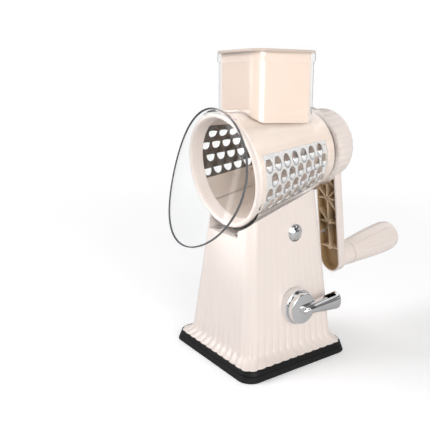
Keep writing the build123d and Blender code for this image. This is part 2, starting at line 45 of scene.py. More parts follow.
studio = {
    "cameraAt": (0.43111, -0.35445, 0.27257),
    "cameraLooksAt": (0.0, -0.05705, 0.1478),
    "lens": 47.30,
    "sensor": 36.0,
    "floorColour": (0.82, 0.82, 0.82, 1),
    "floorLift": 0.20,      # added glow, so that the open floor reaches white and the shadow stays
    "fadeStart": 0.42,      # metres from the object where the floor turns to plain white
    "fadeEnd": 1.0,
    "worldLight": 0.40,
    "keyEnergy": 20.0,
    "keyColour": (0.965, 0.965, 1.0),
    "fillEnergy": 22.5,
    "rearEnergy": 1.4,
    "stripEnergy": 1.1,
    "mirrorPatch": 0.15,    # the darkest patches of the room in gloss and metal
    "mirrorPanels": ((-112, 20), (2, 19)),     # bright panels: compass angle and half width, in degrees
    "mirrorPanelLevel": 0.9,
    "mirrorPanelSoft": 3,   # degrees over which a panel's edge fades
    "cloudRange": (0.42, 0.58),     # noise levels between which a patch fades out
    "mirrorFloor": 0.12,     # how much darker the floor looks in gloss and metal
    # What gloss and metal see, from straight down to straight up
    "mirrorBands": ((0.0, 0.40), (0.49, 0.45), (0.52, 0.95), (0.60, 0.90), (0.645, 0.16), (0.72, 0.14),
                    (0.76, 1.0), (1.0, 1.1)),
}


# ---------- studio ----------
def node(tree, kind, x, y, **inputs):
    made = tree.nodes.new(kind)
    made.location = (x, y)
    for name, value in inputs.items():
        made.inputs[name].default_value = value
    return made


def mathNode(tree, operation, x, y, first=None, second=None, third=None):
    made = tree.nodes.new("ShaderNodeMath")
    made.operation = operation
    made.location = (x, y)
    for socket, given in zip(made.inputs, (first, second, third)):
        if isinstance(given, (int, float)):
            socket.default_value = given
        elif given is not None:
            tree.links.new(given, socket)
    return made.outputs[0]


def placed(name, data):
    made = bpy.data.objects.new(name, data)
    bpy.context.scene.collection.objects.link(made)
    return made


def makeCamera():
    data = bpy.data.cameras.new("photoCamera")
    data.lens = studio["lens"]
    data.sensor_width = studio["sensor"]
    data.clip_start = 0.01
    camera = placed("photoCamera", data)
    camera.location = studio["cameraAt"]
    look = Vector(studio["cameraLooksAt"]) - Vector(studio["cameraAt"])
    camera.rotation_euler = look.to_track_quat("-Z", "Y").to_euler()
    bpy.context.scene.camera = camera


def seenDirectly(tree, x, y):
    # 1 where the camera sees it, plainly or through a clear wall, 0 where it only lights things
    pathInfo = node(tree, "ShaderNodeLightPath", x, y)
    direct = mathNode(tree, "MAXIMUM", x + 180, y, pathInfo.outputs["Is Camera Ray"],
                      pathInfo.outputs["Is Transmission Ray"])
    unlit = mathNode(tree, "LESS_THAN", x + 180, y - 180, pathInfo.outputs["Diffuse Depth"], 0.5)
    return mathNode(tree, "MULTIPLY", x + 360, y, direct, unlit)


def whiteWorld():
    world = bpy.data.worlds.new("softRoom")
    bpy.context.scene.world = world
    world.use_nodes = True
    tree = world.node_tree
    tree.nodes.clear()
    out = node(tree, "ShaderNodeOutputWorld", 700, 0)
    lit = node(tree, "ShaderNodeBackground", 100, -120, Color=(1, 1, 1, 1), Strength=studio["worldLight"])
    mirrored = node(tree, "ShaderNodeBackground", 100, -300, Strength=1.0)
    place = node(tree, "ShaderNodeTexCoord", -900, -300)
    split = node(tree, "ShaderNodeSeparateXYZ", -700, -300)
    height = node(tree, "ShaderNodeMapRange", -500, -300)
    height.inputs["From Min"].default_value = -1.0
    bands = node(tree, "ShaderNodeValToRGB", -250, -300)
    ramp = bands.color_ramp
    ramp.interpolation = "EASE"
    for level, grey in studio["mirrorBands"]:
        ends = {0.0: 0, 1.0: -1}
        stop = ramp.elements[ends[level]] if level in ends else ramp.elements.new(level)
        stop.color = (grey, grey, grey, 1)
    tree.links.new(place.outputs["Generated"], split.inputs[0])
    tree.links.new(split.outputs["Z"], height.inputs["Value"])
    tree.links.new(height.outputs[0], bands.inputs[0])
    clouds = node(tree, "ShaderNodeTexNoise", -500, -520, Scale=1.7, Detail=1.0)
    tree.links.new(place.outputs["Generated"], clouds.inputs["Vector"])
    patches = node(tree, "ShaderNodeMapRange", -250, -520)
    lowCloud, highCloud = studio["cloudRange"]
    for socket, value in (("From Min", lowCloud), ("From Max", highCloud), ("To Min", studio["mirrorPatch"]),
                          ("To Max", 1.0)):
        patches.inputs[socket].default_value = value
    tree.links.new(clouds.outputs["Fac"], patches.inputs["Value"])
    tree.links.new(bands.outputs[0], mirrored.inputs["Color"])
    # Two tall bright panels, which stand as white stripes on the hopper's corner and as bands on chrome
    compass = mathNode(tree, "ARCTAN2", -500, -760, split.outputs["Y"], split.outputs["X"])
    total = patches.outputs[0]
    for turn, half in studio["mirrorPanels"]:
        off = mathNode(tree, "SUBTRACT", -300, -760, compass, math.radians(turn))
        away = mathNode(tree, "ABSOLUTE", -150, -760, off)
        tall = node(tree, "ShaderNodeMapRange", 0, -760)
        solid = half - studio["mirrorPanelSoft"]
        for socket, value in (("From Min", math.radians(half)), ("From Max", math.radians(solid)),
                              ("To Min", 0.0), ("To Max", studio["mirrorPanelLevel"])):
            tall.inputs[socket].default_value = value
        tree.links.new(away, tall.inputs["Value"])
        total = mathNode(tree, "ADD", 150, -760, tall.outputs[0], total)
    tree.links.new(total, mirrored.inputs["Strength"])
    glossMix = node(tree, "ShaderNodeMixShader", 250, -200)
    glossPath = node(tree, "ShaderNodeLightPath", -100, -520)
    tree.links.new(glossPath.outputs["Is Glossy Ray"], glossMix.inputs[0])
    tree.links.new(lit.outputs[0], glossMix.inputs[1])
    tree.links.new(mirrored.outputs[0], glossMix.inputs[2])
    seen = node(tree, "ShaderNodeBackground", 100, 100, Color=(1, 1, 1, 1), Strength=1.0)
    mix = node(tree, "ShaderNodeMixShader", 400, 0)
    tree.links.new(seenDirectly(tree, -300, 200), mix.inputs[0])
    tree.links.new(glossMix.outputs[0], mix.inputs[1])
    tree.links.new(seen.outputs[0], mix.inputs[2])
    tree.links.new(mix.outputs[0], out.inputs[0])


# Place, aim, size, energy and colour of each lamp
lamps = {
    "keyLight": ((-1.15, -1.3, 1.35), (0, 0, 0.15), (1.3, 1.3), "keyEnergy", studio["keyColour"]),
    "fillLight": ((1.95, -0.5, 0.55), (0, 0, 0.15), (1.3, 1.6), "fillEnergy", (1, 1, 1)),
    "rearLight": ((-0.2, 1.0, 0.8), (0, 0, 0.15), (0.8, 0.8), "rearEnergy", (1, 1, 1)),
    "frontStrip": ((-0.42, -1.15, 0.30), (0, 0, 0.24), (0.09, 0.8), "stripEnergy", (1, 1, 1)),
    "sideStrip": ((1.2, 0.02, 0.30), (0, 0, 0.24), (0.09, 0.8), "stripEnergy", (1, 1, 1)),
}


def areaLight(name, at, aim, size, energy, colour):
    data = bpy.data.lights.new(name, "AREA")
    data.shape = "RECTANGLE"
    data.size, data.size_y = size
    data.energy = energy
    data.color = colour
    lamp = placed(name, data)
    lamp.location = at
    lamp.rotation_euler = (Vector(aim) - Vector(at)).to_track_quat("-Z", "Y").to_euler()


def darkCard(name, corners, grey):
    # A card out of view that chrome mirrors as its dark bands
    mesh = bpy.data.meshes.new(name)
    mesh.from_pydata(corners, [], [(0, 1, 2, 3)])
    card = placed(name, mesh)
    made = bpy.data.materials.new(name)
    made.use_nodes = True
    made.node_tree.nodes["Principled BSDF"].inputs["Base Color"].default_value = (grey, grey, grey, 1)
    mesh.materials.append(made)
    card.visible_camera = False
    card.visible_diffuse = False
    card.visible_shadow = False
    card.visible_transmission = False


def paleFloor():
    mesh = bpy.data.meshes.new("paleFloor")
    half = 4.0
    corners = [(-half, -half, 0), (half, -half, 0), (half, half, 0), (-half, half, 0)]
    mesh.from_pydata(corners, [], [(0, 1, 2, 3)])
    floor = placed("paleFloor", mesh)
    made = bpy.data.materials.new("paleFloor")
    made.use_nodes = True
    tree = made.node_tree
    shader = tree.nodes["Principled BSDF"]
    shader.inputs["Base Color"].default_value = studio["floorColour"]
    shader.inputs["Roughness"].default_value = 0.75
    shader.inputs["Specular IOR Level"].default_value = 0.2
    out = tree.nodes["Material Output"]
    lift = node(tree, "ShaderNodeEmission", 0, -420, Strength=studio["floorLift"])
    lifted = node(tree, "ShaderNodeAddShader", 260, -200)
    openFloor = node(tree, "ShaderNodeBsdfDiffuse", 0, -280, Color=(1, 1, 1, 1))
    tree.links.new(openFloor.outputs[0], lifted.inputs[0])
    tree.links.new(lift.outputs[0], lifted.inputs[1])
    white = node(tree, "ShaderNodeEmission", 260, -420, Strength=1.0)
    place = node(tree, "ShaderNodeTexCoord", -700, 300)
    distance = tree.nodes.new("ShaderNodeVectorMath")
    distance.operation = "LENGTH"
    tree.links.new(place.outputs["Object"], distance.inputs[0])
    fade = node(tree, "ShaderNodeMapRange", -300, 300)
    fade.interpolation_type = "SMOOTHSTEP"
    fade.inputs["From Min"].default_value = studio["fadeStart"]
    fade.inputs["From Max"].default_value = studio["fadeEnd"]
    tree.links.new(distance.outputs["Value"], fade.inputs["Value"])
    far = node(tree, "ShaderNodeMixShader", 480, 0)
    tree.links.new(fade.outputs[0], far.inputs[0])
    tree.links.new(lifted.outputs[0], far.inputs[1])
    tree.links.new(white.outputs[0], far.inputs[2])
    seen = node(tree, "ShaderNodeMixShader", 700, 0)
    tree.links.new(seenDirectly(tree, 200, 400), seen.inputs[0])
    glossPath = node(tree, "ShaderNodeLightPath", -100, 640)
    dimmed = mathNode(tree, "MULTIPLY", 60, 640, glossPath.outputs["Is Glossy Ray"], studio["mirrorFloor"])
    dark = node(tree, "ShaderNodeBsdfDiffuse", 260, 760, Color=(0.03, 0.03, 0.03, 1))
    mirrored = node(tree, "ShaderNodeMixShader", 480, 640)
    tree.links.new(dimmed, mirrored.inputs[0])
    tree.links.new(shader.outputs[0], mirrored.inputs[1])
    tree.links.new(dark.outputs[0], mirrored.inputs[2])
    tree.links.new(mirrored.outputs[0], seen.inputs[1])
    tree.links.new(far.outputs[0], seen.inputs[2])
    tree.links.new(seen.outputs[0], out.inputs["Surface"])
    mesh.materials.append(made)


# ---------- finishes ----------
def driftGroup():
    # Colour drift, fine grain and worn edges for every finish
    group = bpy.data.node_groups.new("surfaceDrift", "ShaderNodeTree")
    face = group.interface
    face.new_socket("Colour", in_out="INPUT", socket_type="NodeSocketColor")
    for name, value in (("Drift", 0.04), ("Patch", 18.0), ("Grain", 900.0), ("Rough", 0.35),
                        ("Rough Drift", 0.06), ("Edge", 0.3), ("Height", 0.02)):
        made = face.new_socket(name, in_out="INPUT", socket_type="NodeSocketFloat")
        made.default_value = value
    face.new_socket("Edge Colour", in_out="INPUT", socket_type="NodeSocketColor")
    face.new_socket("Colour", in_out="OUTPUT", socket_type="NodeSocketColor")
    face.new_socket("Roughness", in_out="OUTPUT", socket_type="NodeSocketFloat")
    face.new_socket("Normal", in_out="OUTPUT", socket_type="NodeSocketVector")
    links = group.links
    given = node(group, "NodeGroupInput", -1100, 0)
    out = node(group, "NodeGroupOutput", 900, 0)
    place = node(group, "ShaderNodeTexCoord", -1100, -300)
    patch = node(group, "ShaderNodeTexNoise", -800, 200, Detail=4.0, Roughness=0.6)
    grain = node(group, "ShaderNodeTexNoise", -800, -100, Detail=3.0, Roughness=0.7)
    for noise, scale in ((patch, "Patch"), (grain, "Grain")):
        links.new(place.outputs["Object"], noise.inputs["Vector"])
        links.new(given.outputs[scale], noise.inputs["Scale"])
    centred = mathNode(group, "SUBTRACT", -560, 200, patch.outputs["Fac"], 0.5)
    value = mathNode(group, "MULTIPLY_ADD", -380, 200, centred, given.outputs["Drift"], 1.0)
    tint = group.nodes.new("ShaderNodeVectorMath")
    tint.operation = "SCALE"
    links.new(given.outputs["Colour"], tint.inputs[0])
    links.new(value, tint.inputs["Scale"])
    geometry = node(group, "ShaderNodeNewGeometry", -800, -400)
    ridge = node(group, "ShaderNodeMapRange", -560, -400)
    ridge.inputs["From Min"].default_value = 0.52
    ridge.inputs["From Max"].default_value = 0.62
    links.new(geometry.outputs["Pointiness"], ridge.inputs["Value"])
    worn = mathNode(group, "MULTIPLY", -380, -400, ridge.outputs[0], given.outputs["Edge"])
    broken = mathNode(group, "MULTIPLY", -200, -400, worn, patch.outputs["Fac"])
    paint = node(group, "ShaderNodeMix", 60, 200)
    paint.data_type = "RGBA"
    links.new(broken, paint.inputs[0])
    links.new(tint.outputs[0], paint.inputs[6])
    links.new(given.outputs["Edge Colour"], paint.inputs[7])
    links.new(paint.outputs[2], out.inputs["Colour"])
    rough = mathNode(group, "MULTIPLY_ADD", -180, -50, centred, given.outputs["Rough Drift"],
                     given.outputs["Rough"])
    links.new(rough, out.inputs["Roughness"])
    bump = node(group, "ShaderNodeBump", 300, -200, Distance=0.001)
    links.new(grain.outputs["Fac"], bump.inputs["Height"])
    links.new(given.outputs["Height"], bump.inputs["Strength"])
    links.new(bump.outputs[0], out.inputs["Normal"])
    return group


surfaceDrift = driftGroup()

plainFinish = {"metal": 0.0, "coat": 0.0, "specular": 0.5}   # what a finish has where its own row is silent
finishes = {
    "creamPlastic": {"colour": (0.905, 0.805, 0.745, 1), "edge": (0.95, 0.9, 0.86, 1), "drift": 0.04,
                     "patch": 16.0, "grain": 1400.0, "rough": 0.3, "roughDrift": 0.08, "wear": 0.3,
                     "height": 0.012, "coat": 0.3},
    # Painted shade: darker copies of the cream plastic for the drum halves and the pusher, standing in for
    # shade behind the clear housing
    "drumCream": {"colour": (0.7, 0.59, 0.51, 1), "edge": (0.93, 0.88, 0.82, 1), "drift": 0.05,
                  "patch": 20.0, "grain": 1400.0, "rough": 0.36, "roughDrift": 0.08, "wear": 0.35,
                  "height": 0.015, "coat": 0.2},
    "pusherCream": {"colour": (0.755, 0.615, 0.52, 1), "edge": (0.93, 0.85, 0.78, 1), "drift": 0.04,
                    "patch": 14.0, "grain": 1400.0, "rough": 0.4, "roughDrift": 0.08, "wear": 0.3,
                    "height": 0.012, "coat": 0.1},
    # Painted shade: dark tan on the crank pocket's walls and floor, standing in for shade in the recess
    "pocketTan": {"colour": (0.4, 0.265, 0.13, 1), "edge": (0.8, 0.66, 0.5, 1), "drift": 0.1,
                  "patch": 18.0, "grain": 1300.0, "rough": 0.38, "roughDrift": 0.08, "wear": 0.4,
                  "height": 0.015, "coat": 0.15},
    "blackPlastic": {"colour": (0.01, 0.01, 0.01, 1), "edge": (0.05, 0.05, 0.05, 1), "drift": 0.4,
                     "patch": 30.0, "grain": 1200.0, "rough": 0.42, "roughDrift": 0.12, "wear": 0.5,
                     "height": 0.05, "specular": 0.16},
    "padRubber": {"colour": (0.013, 0.013, 0.013, 1), "edge": (0.04, 0.04, 0.04, 1), "drift": 0.4,
                  "patch": 25.0, "grain": 900.0, "rough": 0.6, "roughDrift": 0.12, "wear": 0.4,
                  "height": 0.08, "specular": 0.16},
    "darkPlastic": {"colour": (0.05, 0.05, 0.052, 1), "edge": (0.12, 0.12, 0.12, 1), "drift": 0.3,
                    "patch": 25.0, "grain": 1000.0, "rough": 0.5, "roughDrift": 0.1, "wear": 0.3,
                    "height": 0.04},
    # Painted shade: dark plastic on the clear guard's rim band, standing in for the dark look of a clear edge
    "guardRim": {"colour": (0.1, 0.1, 0.105, 1), "edge": (0.3, 0.3, 0.31, 1), "drift": 0.5,
                 "patch": 12.0, "grain": 1000.0, "rough": 0.18, "roughDrift": 0.08, "wear": 0.3,
                 "height": 0.0, "coat": 0.5},
    "chromeTrim": {"colour": (0.82, 0.82, 0.83, 1), "edge": (0.9, 0.9, 0.9, 1), "drift": 0.05,
                   "patch": 40.0, "grain": 1500.0, "rough": 0.06, "roughDrift": 0.04, "wear": 0.2,
                   "height": 0.003, "metal": 1.0},
    "bladeSteel": {"colour": (0.84, 0.84, 0.84, 1), "edge": (0.95, 0.95, 0.95, 1), "drift": 0.08,
                   "patch": 60.0, "grain": 1600.0, "rough": 0.27, "roughDrift": 0.1, "wear": 0.5,
                   "height": 0.008, "metal": 1.0},
    # The teeth's steel is lighter than the sheet's and carries painted shade, darker towards each dome's rim
    # and one side
    "toothSteel": {"colour": (0.97, 0.98, 0.99, 1), "edge": (0.98, 0.98, 0.98, 1), "drift": 0.06,
                   "patch": 60.0, "grain": 1600.0, "rough": 0.22, "roughDrift": 0.08, "wear": 0.3,
                   "height": 0.006, "metal": 1.0, "shadeBy": "dish"},
    # Painted shade: lighter tan on the crank's ribs, standing in for the softer shade on them inside the pocket
    "ribTan": {"colour": (0.66, 0.49, 0.315, 1), "edge": (0.8, 0.66, 0.5, 1), "drift": 0.08,
               "patch": 18.0, "grain": 1300.0, "rough": 0.38, "roughDrift": 0.08, "wear": 0.3,
               "height": 0.015, "coat": 0.1},
    # Painted shade: dark brown steel for the blades' inner faces, standing in for the shade inside the drum
    "bladeInner": {"colour": (0.135, 0.115, 0.095, 1), "edge": (0.45, 0.4, 0.35, 1), "drift": 0.3,
                   "patch": 45.0, "grain": 1600.0, "rough": 0.3, "roughDrift": 0.12, "wear": 0.5,
                   "height": 0.008, "metal": 1.0},
    "plainSteel": {"colour": (0.55, 0.55, 0.56, 1), "edge": (0.8, 0.8, 0.8, 1), "drift": 0.1,
                   "patch": 60.0, "grain": 1200.0, "rough": 0.3, "roughDrift": 0.1, "wear": 0.3,
                   "height": 0.02, "metal": 1.0},
}
clears = {
    "clearPlastic": {"tint": (0.985, 0.98, 0.975, 1), "ior": 1.06, "rough": 0.03, "coat": 0.9,
                     "shade": (0.96, 0.95, 0.945, 1)},
    "clearGuard": {"tint": (0.985, 0.99, 0.99, 1), "ior": 1.04, "rough": 0.02, "coat": 0.3,
                   "shade": (0.98, 0.98, 0.98, 1)},
}


def solidFinish(name):
    look = {**plainFinish, **finishes[name]}
    made = bpy.data.materials.new(name)
    made.use_nodes = True
    tree = made.node_tree
    shader = tree.nodes["Principled BSDF"]
    surface = tree.nodes.new("ShaderNodeGroup")
    surface.node_tree = surfaceDrift
    surface.location = (-400, 0)
    for socket, key in (("Colour", "colour"), ("Edge Colour", "edge"), ("Drift", "drift"), ("Patch", "patch"),
                        ("Grain", "grain"), ("Rough", "rough"), ("Rough Drift", "roughDrift"), ("Edge", "wear"),
                        ("Height", "height")):
        surface.inputs[socket].default_value = look[key]
    colour = surface.outputs["Colour"]
    if "shadeBy" in look:
        # Painted shade: the colour is scaled down by the tooth's painted-shade attribute, darker towards each
        # dome's rim and one side
        shade = node(tree, "ShaderNodeAttribute", -420, 320)
        shade.attribute_name = look["shadeBy"]
        paintedDarkening = tree.nodes.new("ShaderNodeVectorMath")
        paintedDarkening.operation = "SCALE"
        tree.links.new(colour, paintedDarkening.inputs[0])
        tree.links.new(shade.outputs["Fac"], paintedDarkening.inputs["Scale"])
        colour = paintedDarkening.outputs[0]
    tree.links.new(colour, shader.inputs["Base Color"])
    tree.links.new(surface.outputs["Roughness"], shader.inputs["Roughness"])
    tree.links.new(surface.outputs["Normal"], shader.inputs["Normal"])
    shader.inputs["Metallic"].default_value = look["metal"]
    shader.inputs["Specular IOR Level"].default_value = look["specular"]
    shader.inputs["Coat Weight"].default_value = look["coat"]
    shader.inputs["Coat Roughness"].default_value = 0.10
    return made


def clearFinish(name):
    # Light passes straight through, so what is inside stays lit, and the coat carries the gloss
    look = clears[name]
    made = bpy.data.materials.new(name)
    made.use_nodes = True
    tree = made.node_tree
    shader = tree.nodes["Principled BSDF"]
    out = tree.nodes["Material Output"]
    shader.inputs["Base Color"].default_value = look["tint"]
    shader.inputs["Transmission Weight"].default_value = 1.0
    shader.inputs["IOR"].default_value = look["ior"]
    shader.inputs["Coat Weight"].default_value = look["coat"]
    shader.inputs["Coat Roughness"].default_value = 0.03
    surface = tree.nodes.new("ShaderNodeGroup")
    surface.node_tree = surfaceDrift
    surface.location = (-400, -200)
    for socket, value in (("Rough", look["rough"]), ("Rough Drift", 0.03), ("Patch", 30.0), ("Grain", 500.0),
                          ("Height", 0.001)):
        surface.inputs[socket].default_value = value
    tree.links.new(surface.outputs["Roughness"], shader.inputs["Roughness"])
    tree.links.new(surface.outputs["Normal"], shader.inputs["Normal"])
    pathInfo = node(tree, "ShaderNodeLightPath", -200, 400)
    through = node(tree, "ShaderNodeBsdfTransparent", 0, 300, Color=look["shade"])
    mix = node(tree, "ShaderNodeMixShader", 300, 200)
    tree.links.new(pathInfo.outputs["Is Shadow Ray"], mix.inputs[0])
    tree.links.new(shader.outputs[0], mix.inputs[1])
    tree.links.new(through.outputs[0], mix.inputs[2])
    tree.links.new(mix.outputs[0], out.inputs["Surface"])
    return made


looks = {name: solidFinish(name) for name in finishes}
looks.update({name: clearFinish(name) for name in clears})
print("materials made", len(looks))

slotLooks = {
    "cream_plastic": "creamPlastic",
    "clear_plastic": "clearPlastic",
    "clear_guard": "clearGuard",
    "black_plastic": "blackPlastic",
    "dark_plastic": "darkPlastic",
    "pad_rubber": "padRubber",
    "chrome_trim": "chromeTrim",
    "blade_steel": "bladeSteel",
    "screw_steel": "plainSteel",
}
slotOf = {part["node"]: part["material_slot"] for part in frame["record"]["subparts"]}
bodyOf = {}
for body, names in frame["record"]["behaviour"]["bodies"].items():
    for name in names:
        bodyOf[name] = body
# The pusher takes the darker, painted-shade copy of the cream
ownLooks = {"pusher_body": "pusherCream", "pusher_cap": "pusherCream"}


def lookOf(name):
    if name in ownLooks:
        return looks[ownLooks[name]]
    # Cream drum pieces take the darker, painted-shade copy of the cream
    if name.startswith("drum_") and slotOf[name] == "cream_plastic":
        return looks["drumCream"]
    return looks[slotLooks[slotOf[name]]]


def dressNodes():
    for name in slotOf:
        piece = bpy.data.objects[name]
        piece.data.materials.clear()
        piece.data.materials.append(lookOf(name))


# ---------- shapes shared by the pieces ----------
axis = {"y": -47.0, "z": 189.2, "tilt": 8.0, "radius": 53.9, "taper": 8.0}
axisFrame = Matrix.Translation((0, axis["y"], axis["z"])) @ Matrix.Rotation(math.radians(axis["tilt"]), 4, "X")
upFrame = Matrix.Identity(4)
slope = math.tan(math.radians(axis["taper"]))


def coneR(s, extra=0.0):
    return axis["radius"] + extra - slope * s


def ringPoint(s, angle, radius):
    turn = math.radians(angle)
    return radius * math.cos(turn), s, radius * math.sin(turn)


def shade(piece, angle=35.0):
    for polygon in piece.data.polygons:
        polygon.use_smooth = True
    piece.data.set_sharp_from_angle(angle=math.radians(angle))


def meshPiece(name, points, faces, place=upFrame, angle=35.0, flip=True):
    # Points in millimetres in the frame of place; normals are turned outwards
    mesh = bpy.data.meshes.new(name)
    mesh.from_pydata([(place @ Vector(point)) * mm for point in points], [], faces)
    work = bmesh.new()
    work.from_mesh(mesh)
    bmesh.ops.remove_doubles(work, verts=work.verts, dist=2e-7)
    if flip:
        bmesh.ops.recalc_face_normals(work, faces=work.faces)
    work.to_mesh(mesh)
    work.free()
    piece = placed(name, mesh)
    shade(piece, angle)
    return piece


def rowsPiece(name, rows, place=upFrame, angle=35.0):
    # Closed loops of equal length, skinned, with flat ends
    count = len(rows[0])
    points = [point for row in rows for point in row]
    faces = []
    for r in range(len(rows) - 1):
        for k in range(count):
            n = (k + 1) % count
            faces.append((r * count + k, r * count + n, (r + 1) * count + n, (r + 1) * count + k))
    faces.append(tuple(range(count)))
    faces.append(tuple(range((len(rows) - 1) * count, len(rows) * count)))
    return meshPiece(name, points, faces, place, angle)


def lathe(name, profile, place=axisFrame, segments=160, start=0.0, sweep=360.0, angle=35.0):
    # A closed (radius, s) outline turned about the Y axis of place
    whole = sweep >= 360.0
    rings = segments if whole else segments + 1
    points = []
    for k in range(rings):
        turn = start + sweep * k / segments
        points += [ringPoint(s, turn, radius) for radius, s in profile]
    count = len(profile)
    faces = []
    for k in range(segments):
        a, b = k * count, ((k + 1) % rings) * count
        for j in range(count):
            n = (j + 1) % count
            faces.append((a + j, a + n, b + n, b + j))
    if not whole:
        faces.append(tuple(range(count)))
        faces.append(tuple(range((rings - 1) * count, rings * count)))
    return meshPiece(name, points, faces, place, angle)


def band(name, s0, s1, outer, inner, start=0.0, sweep=360.0, segments=160):
    profile = [(coneR(s0, inner), s0), (coneR(s0, outer), s0), (coneR(s1, outer), s1), (coneR(s1, inner), s1)]
    return lathe(name, profile, segments=segments, start=start, sweep=sweep)


def boxPiece(name, x0, x1, y0, y1, z0, z1, place=upFrame):
    low = [(x0, y0, z0), (x1, y0, z0), (x1, y1, z0), (x0, y1, z0)]
    high = [(x, y, z1) for x, y, _ in low]
    return rowsPiece(name, [low, high], place)


def disc(radius, x0, x1, y, z, name="disc", segments=72):
    # A cylinder along X
    rows = []
    for x in (x0, x1):
        rows.append([(x, y + radius * math.cos(2 * math.pi * k / segments),
                      z + radius * math.sin(2 * math.pi * k / segments)) for k in range(segments)])
    return rowsPiece(name, rows)


def roundedLoop(z, halfX, y0, y1, corner, steps=14):
    points = []
    for cx, cy, first in ((halfX - corner, y1 - corner, 0), (-halfX + corner, y1 - corner, 90),
                          (-halfX + corner, y0 + corner, 180), (halfX - corner, y0 + corner, 270)):
        for k in range(steps + 1):
            turn = math.radians(first + 90 * k / steps)
            points.append((cx + corner * math.cos(turn), cy + corner * math.sin(turn), z))
    return points


def bake(piece, angle=35.0):
    graph = bpy.context.evaluated_depsgraph_get()
    graph.update()
    solid = bpy.data.meshes.new_from_object(piece.evaluated_get(graph))
    solid.name = piece.name
    piece.modifiers.clear()
    piece.data = solid
    shade(piece, angle)


def carve(piece, cutters, operation="DIFFERENCE", angle=35.0):
    for k, cutter in enumerate(cutters):
        change = piece.modifiers.new("carve" + str(k), "BOOLEAN")
        change.operation = operation
        change.solver = "EXACT"
        change.object = cutter
    bake(piece, angle)
    for cutter in cutters:
        bpy.data.objects.remove(cutter)
    return piece


def wear(piece, look, *names):
    # The piece stands for these nodes, takes the given look and the first one's body
    piece.data.materials.clear()
    piece.data.materials.append(looks[look] if isinstance(look, str) else look)
    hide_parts(*names)
    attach(piece, bodyOf[names[0]])


def smoothCopy(name, angle=32.0):
    # A merged copy of a node with soft shading
    mesh = bpy.data.objects[name].data.copy()
    mesh.name = name + "Shape"
    work = bmesh.new()
    work.from_mesh(mesh)
    bmesh.ops.remove_doubles(work, verts=work.verts, dist=1e-6)
    bmesh.ops.dissolve_degenerate(work, edges=work.edges, dist=1e-6)
    work.to_mesh(mesh)
    work.free()
    piece = placed(name + "Shape", mesh)
    shade(piece, angle)
    return piece


# ---------- geometry node trees ----------
def fluteTree():
    # Presses a row of flutes into a shell whose points carry how far round and how deep they are
    tree = bpy.data.node_groups.new("flutedShell", "GeometryNodeTree")
    face = tree.interface
    face.new_socket("Geometry", in_out="INPUT", socket_type="NodeSocketGeometry")
    for name, value in (("Flutes", 48.0), ("Fullness", 0.6)):
        made = face.new_socket(name, in_out="INPUT", socket_type="NodeSocketFloat")
        made.default_value = value
    face.new_socket("Finish", in_out="INPUT", socket_type="NodeSocketMaterial")
    face.new_socket("Geometry", in_out="OUTPUT", socket_type="NodeSocketGeometry")
    given = node(tree, "NodeGroupInput", -900, 0)
    out = node(tree, "NodeGroupOutput", 900, 0)
    around = tree.nodes.new("GeometryNodeInputNamedAttribute")
    around.data_type = "FLOAT"
    around.inputs["Name"].default_value = "around"
    inward = tree.nodes.new("GeometryNodeInputNamedAttribute")
    inward.data_type = "FLOAT_VECTOR"
    inward.inputs["Name"].default_value = "inward"
    spread = mathNode(tree, "MULTIPLY", -600, 200, around.outputs[0], given.outputs["Flutes"])
    part = mathNode(tree, "FRACT", -420, 200, spread)
    rest = mathNode(tree, "SUBTRACT", -240, 100, 1.0, part)
    hump = mathNode(tree, "MULTIPLY", -60, 200, part, rest)
    full = mathNode(tree, "MULTIPLY", 100, 200, hump, 4.0)
    crown = mathNode(tree, "POWER", 260, 200, full, given.outputs["Fullness"])
    press = mathNode(tree, "SUBTRACT", 420, 200, 1.0, crown)
    push = tree.nodes.new("ShaderNodeVectorMath")
    push.operation = "SCALE"
    tree.links.new(inward.outputs[0], push.inputs[0])
    tree.links.new(press, push.inputs["Scale"])
    move = tree.nodes.new("GeometryNodeSetPosition")
    tree.links.new(given.outputs["Geometry"], move.inputs["Geometry"])
    tree.links.new(push.outputs[0], move.inputs["Offset"])
    whole = tree.nodes.new("GeometryNodeRealizeInstances")
    tree.links.new(move.outputs[0], whole.inputs[0])
    finish = tree.nodes.new("GeometryNodeSetMaterial")
    tree.links.new(whole.outputs[0], finish.inputs["Geometry"])
    tree.links.new(given.outputs["Finish"], finish.inputs["Material"])
    tree.links.new(finish.outputs[0], out.inputs[0])
    return tree


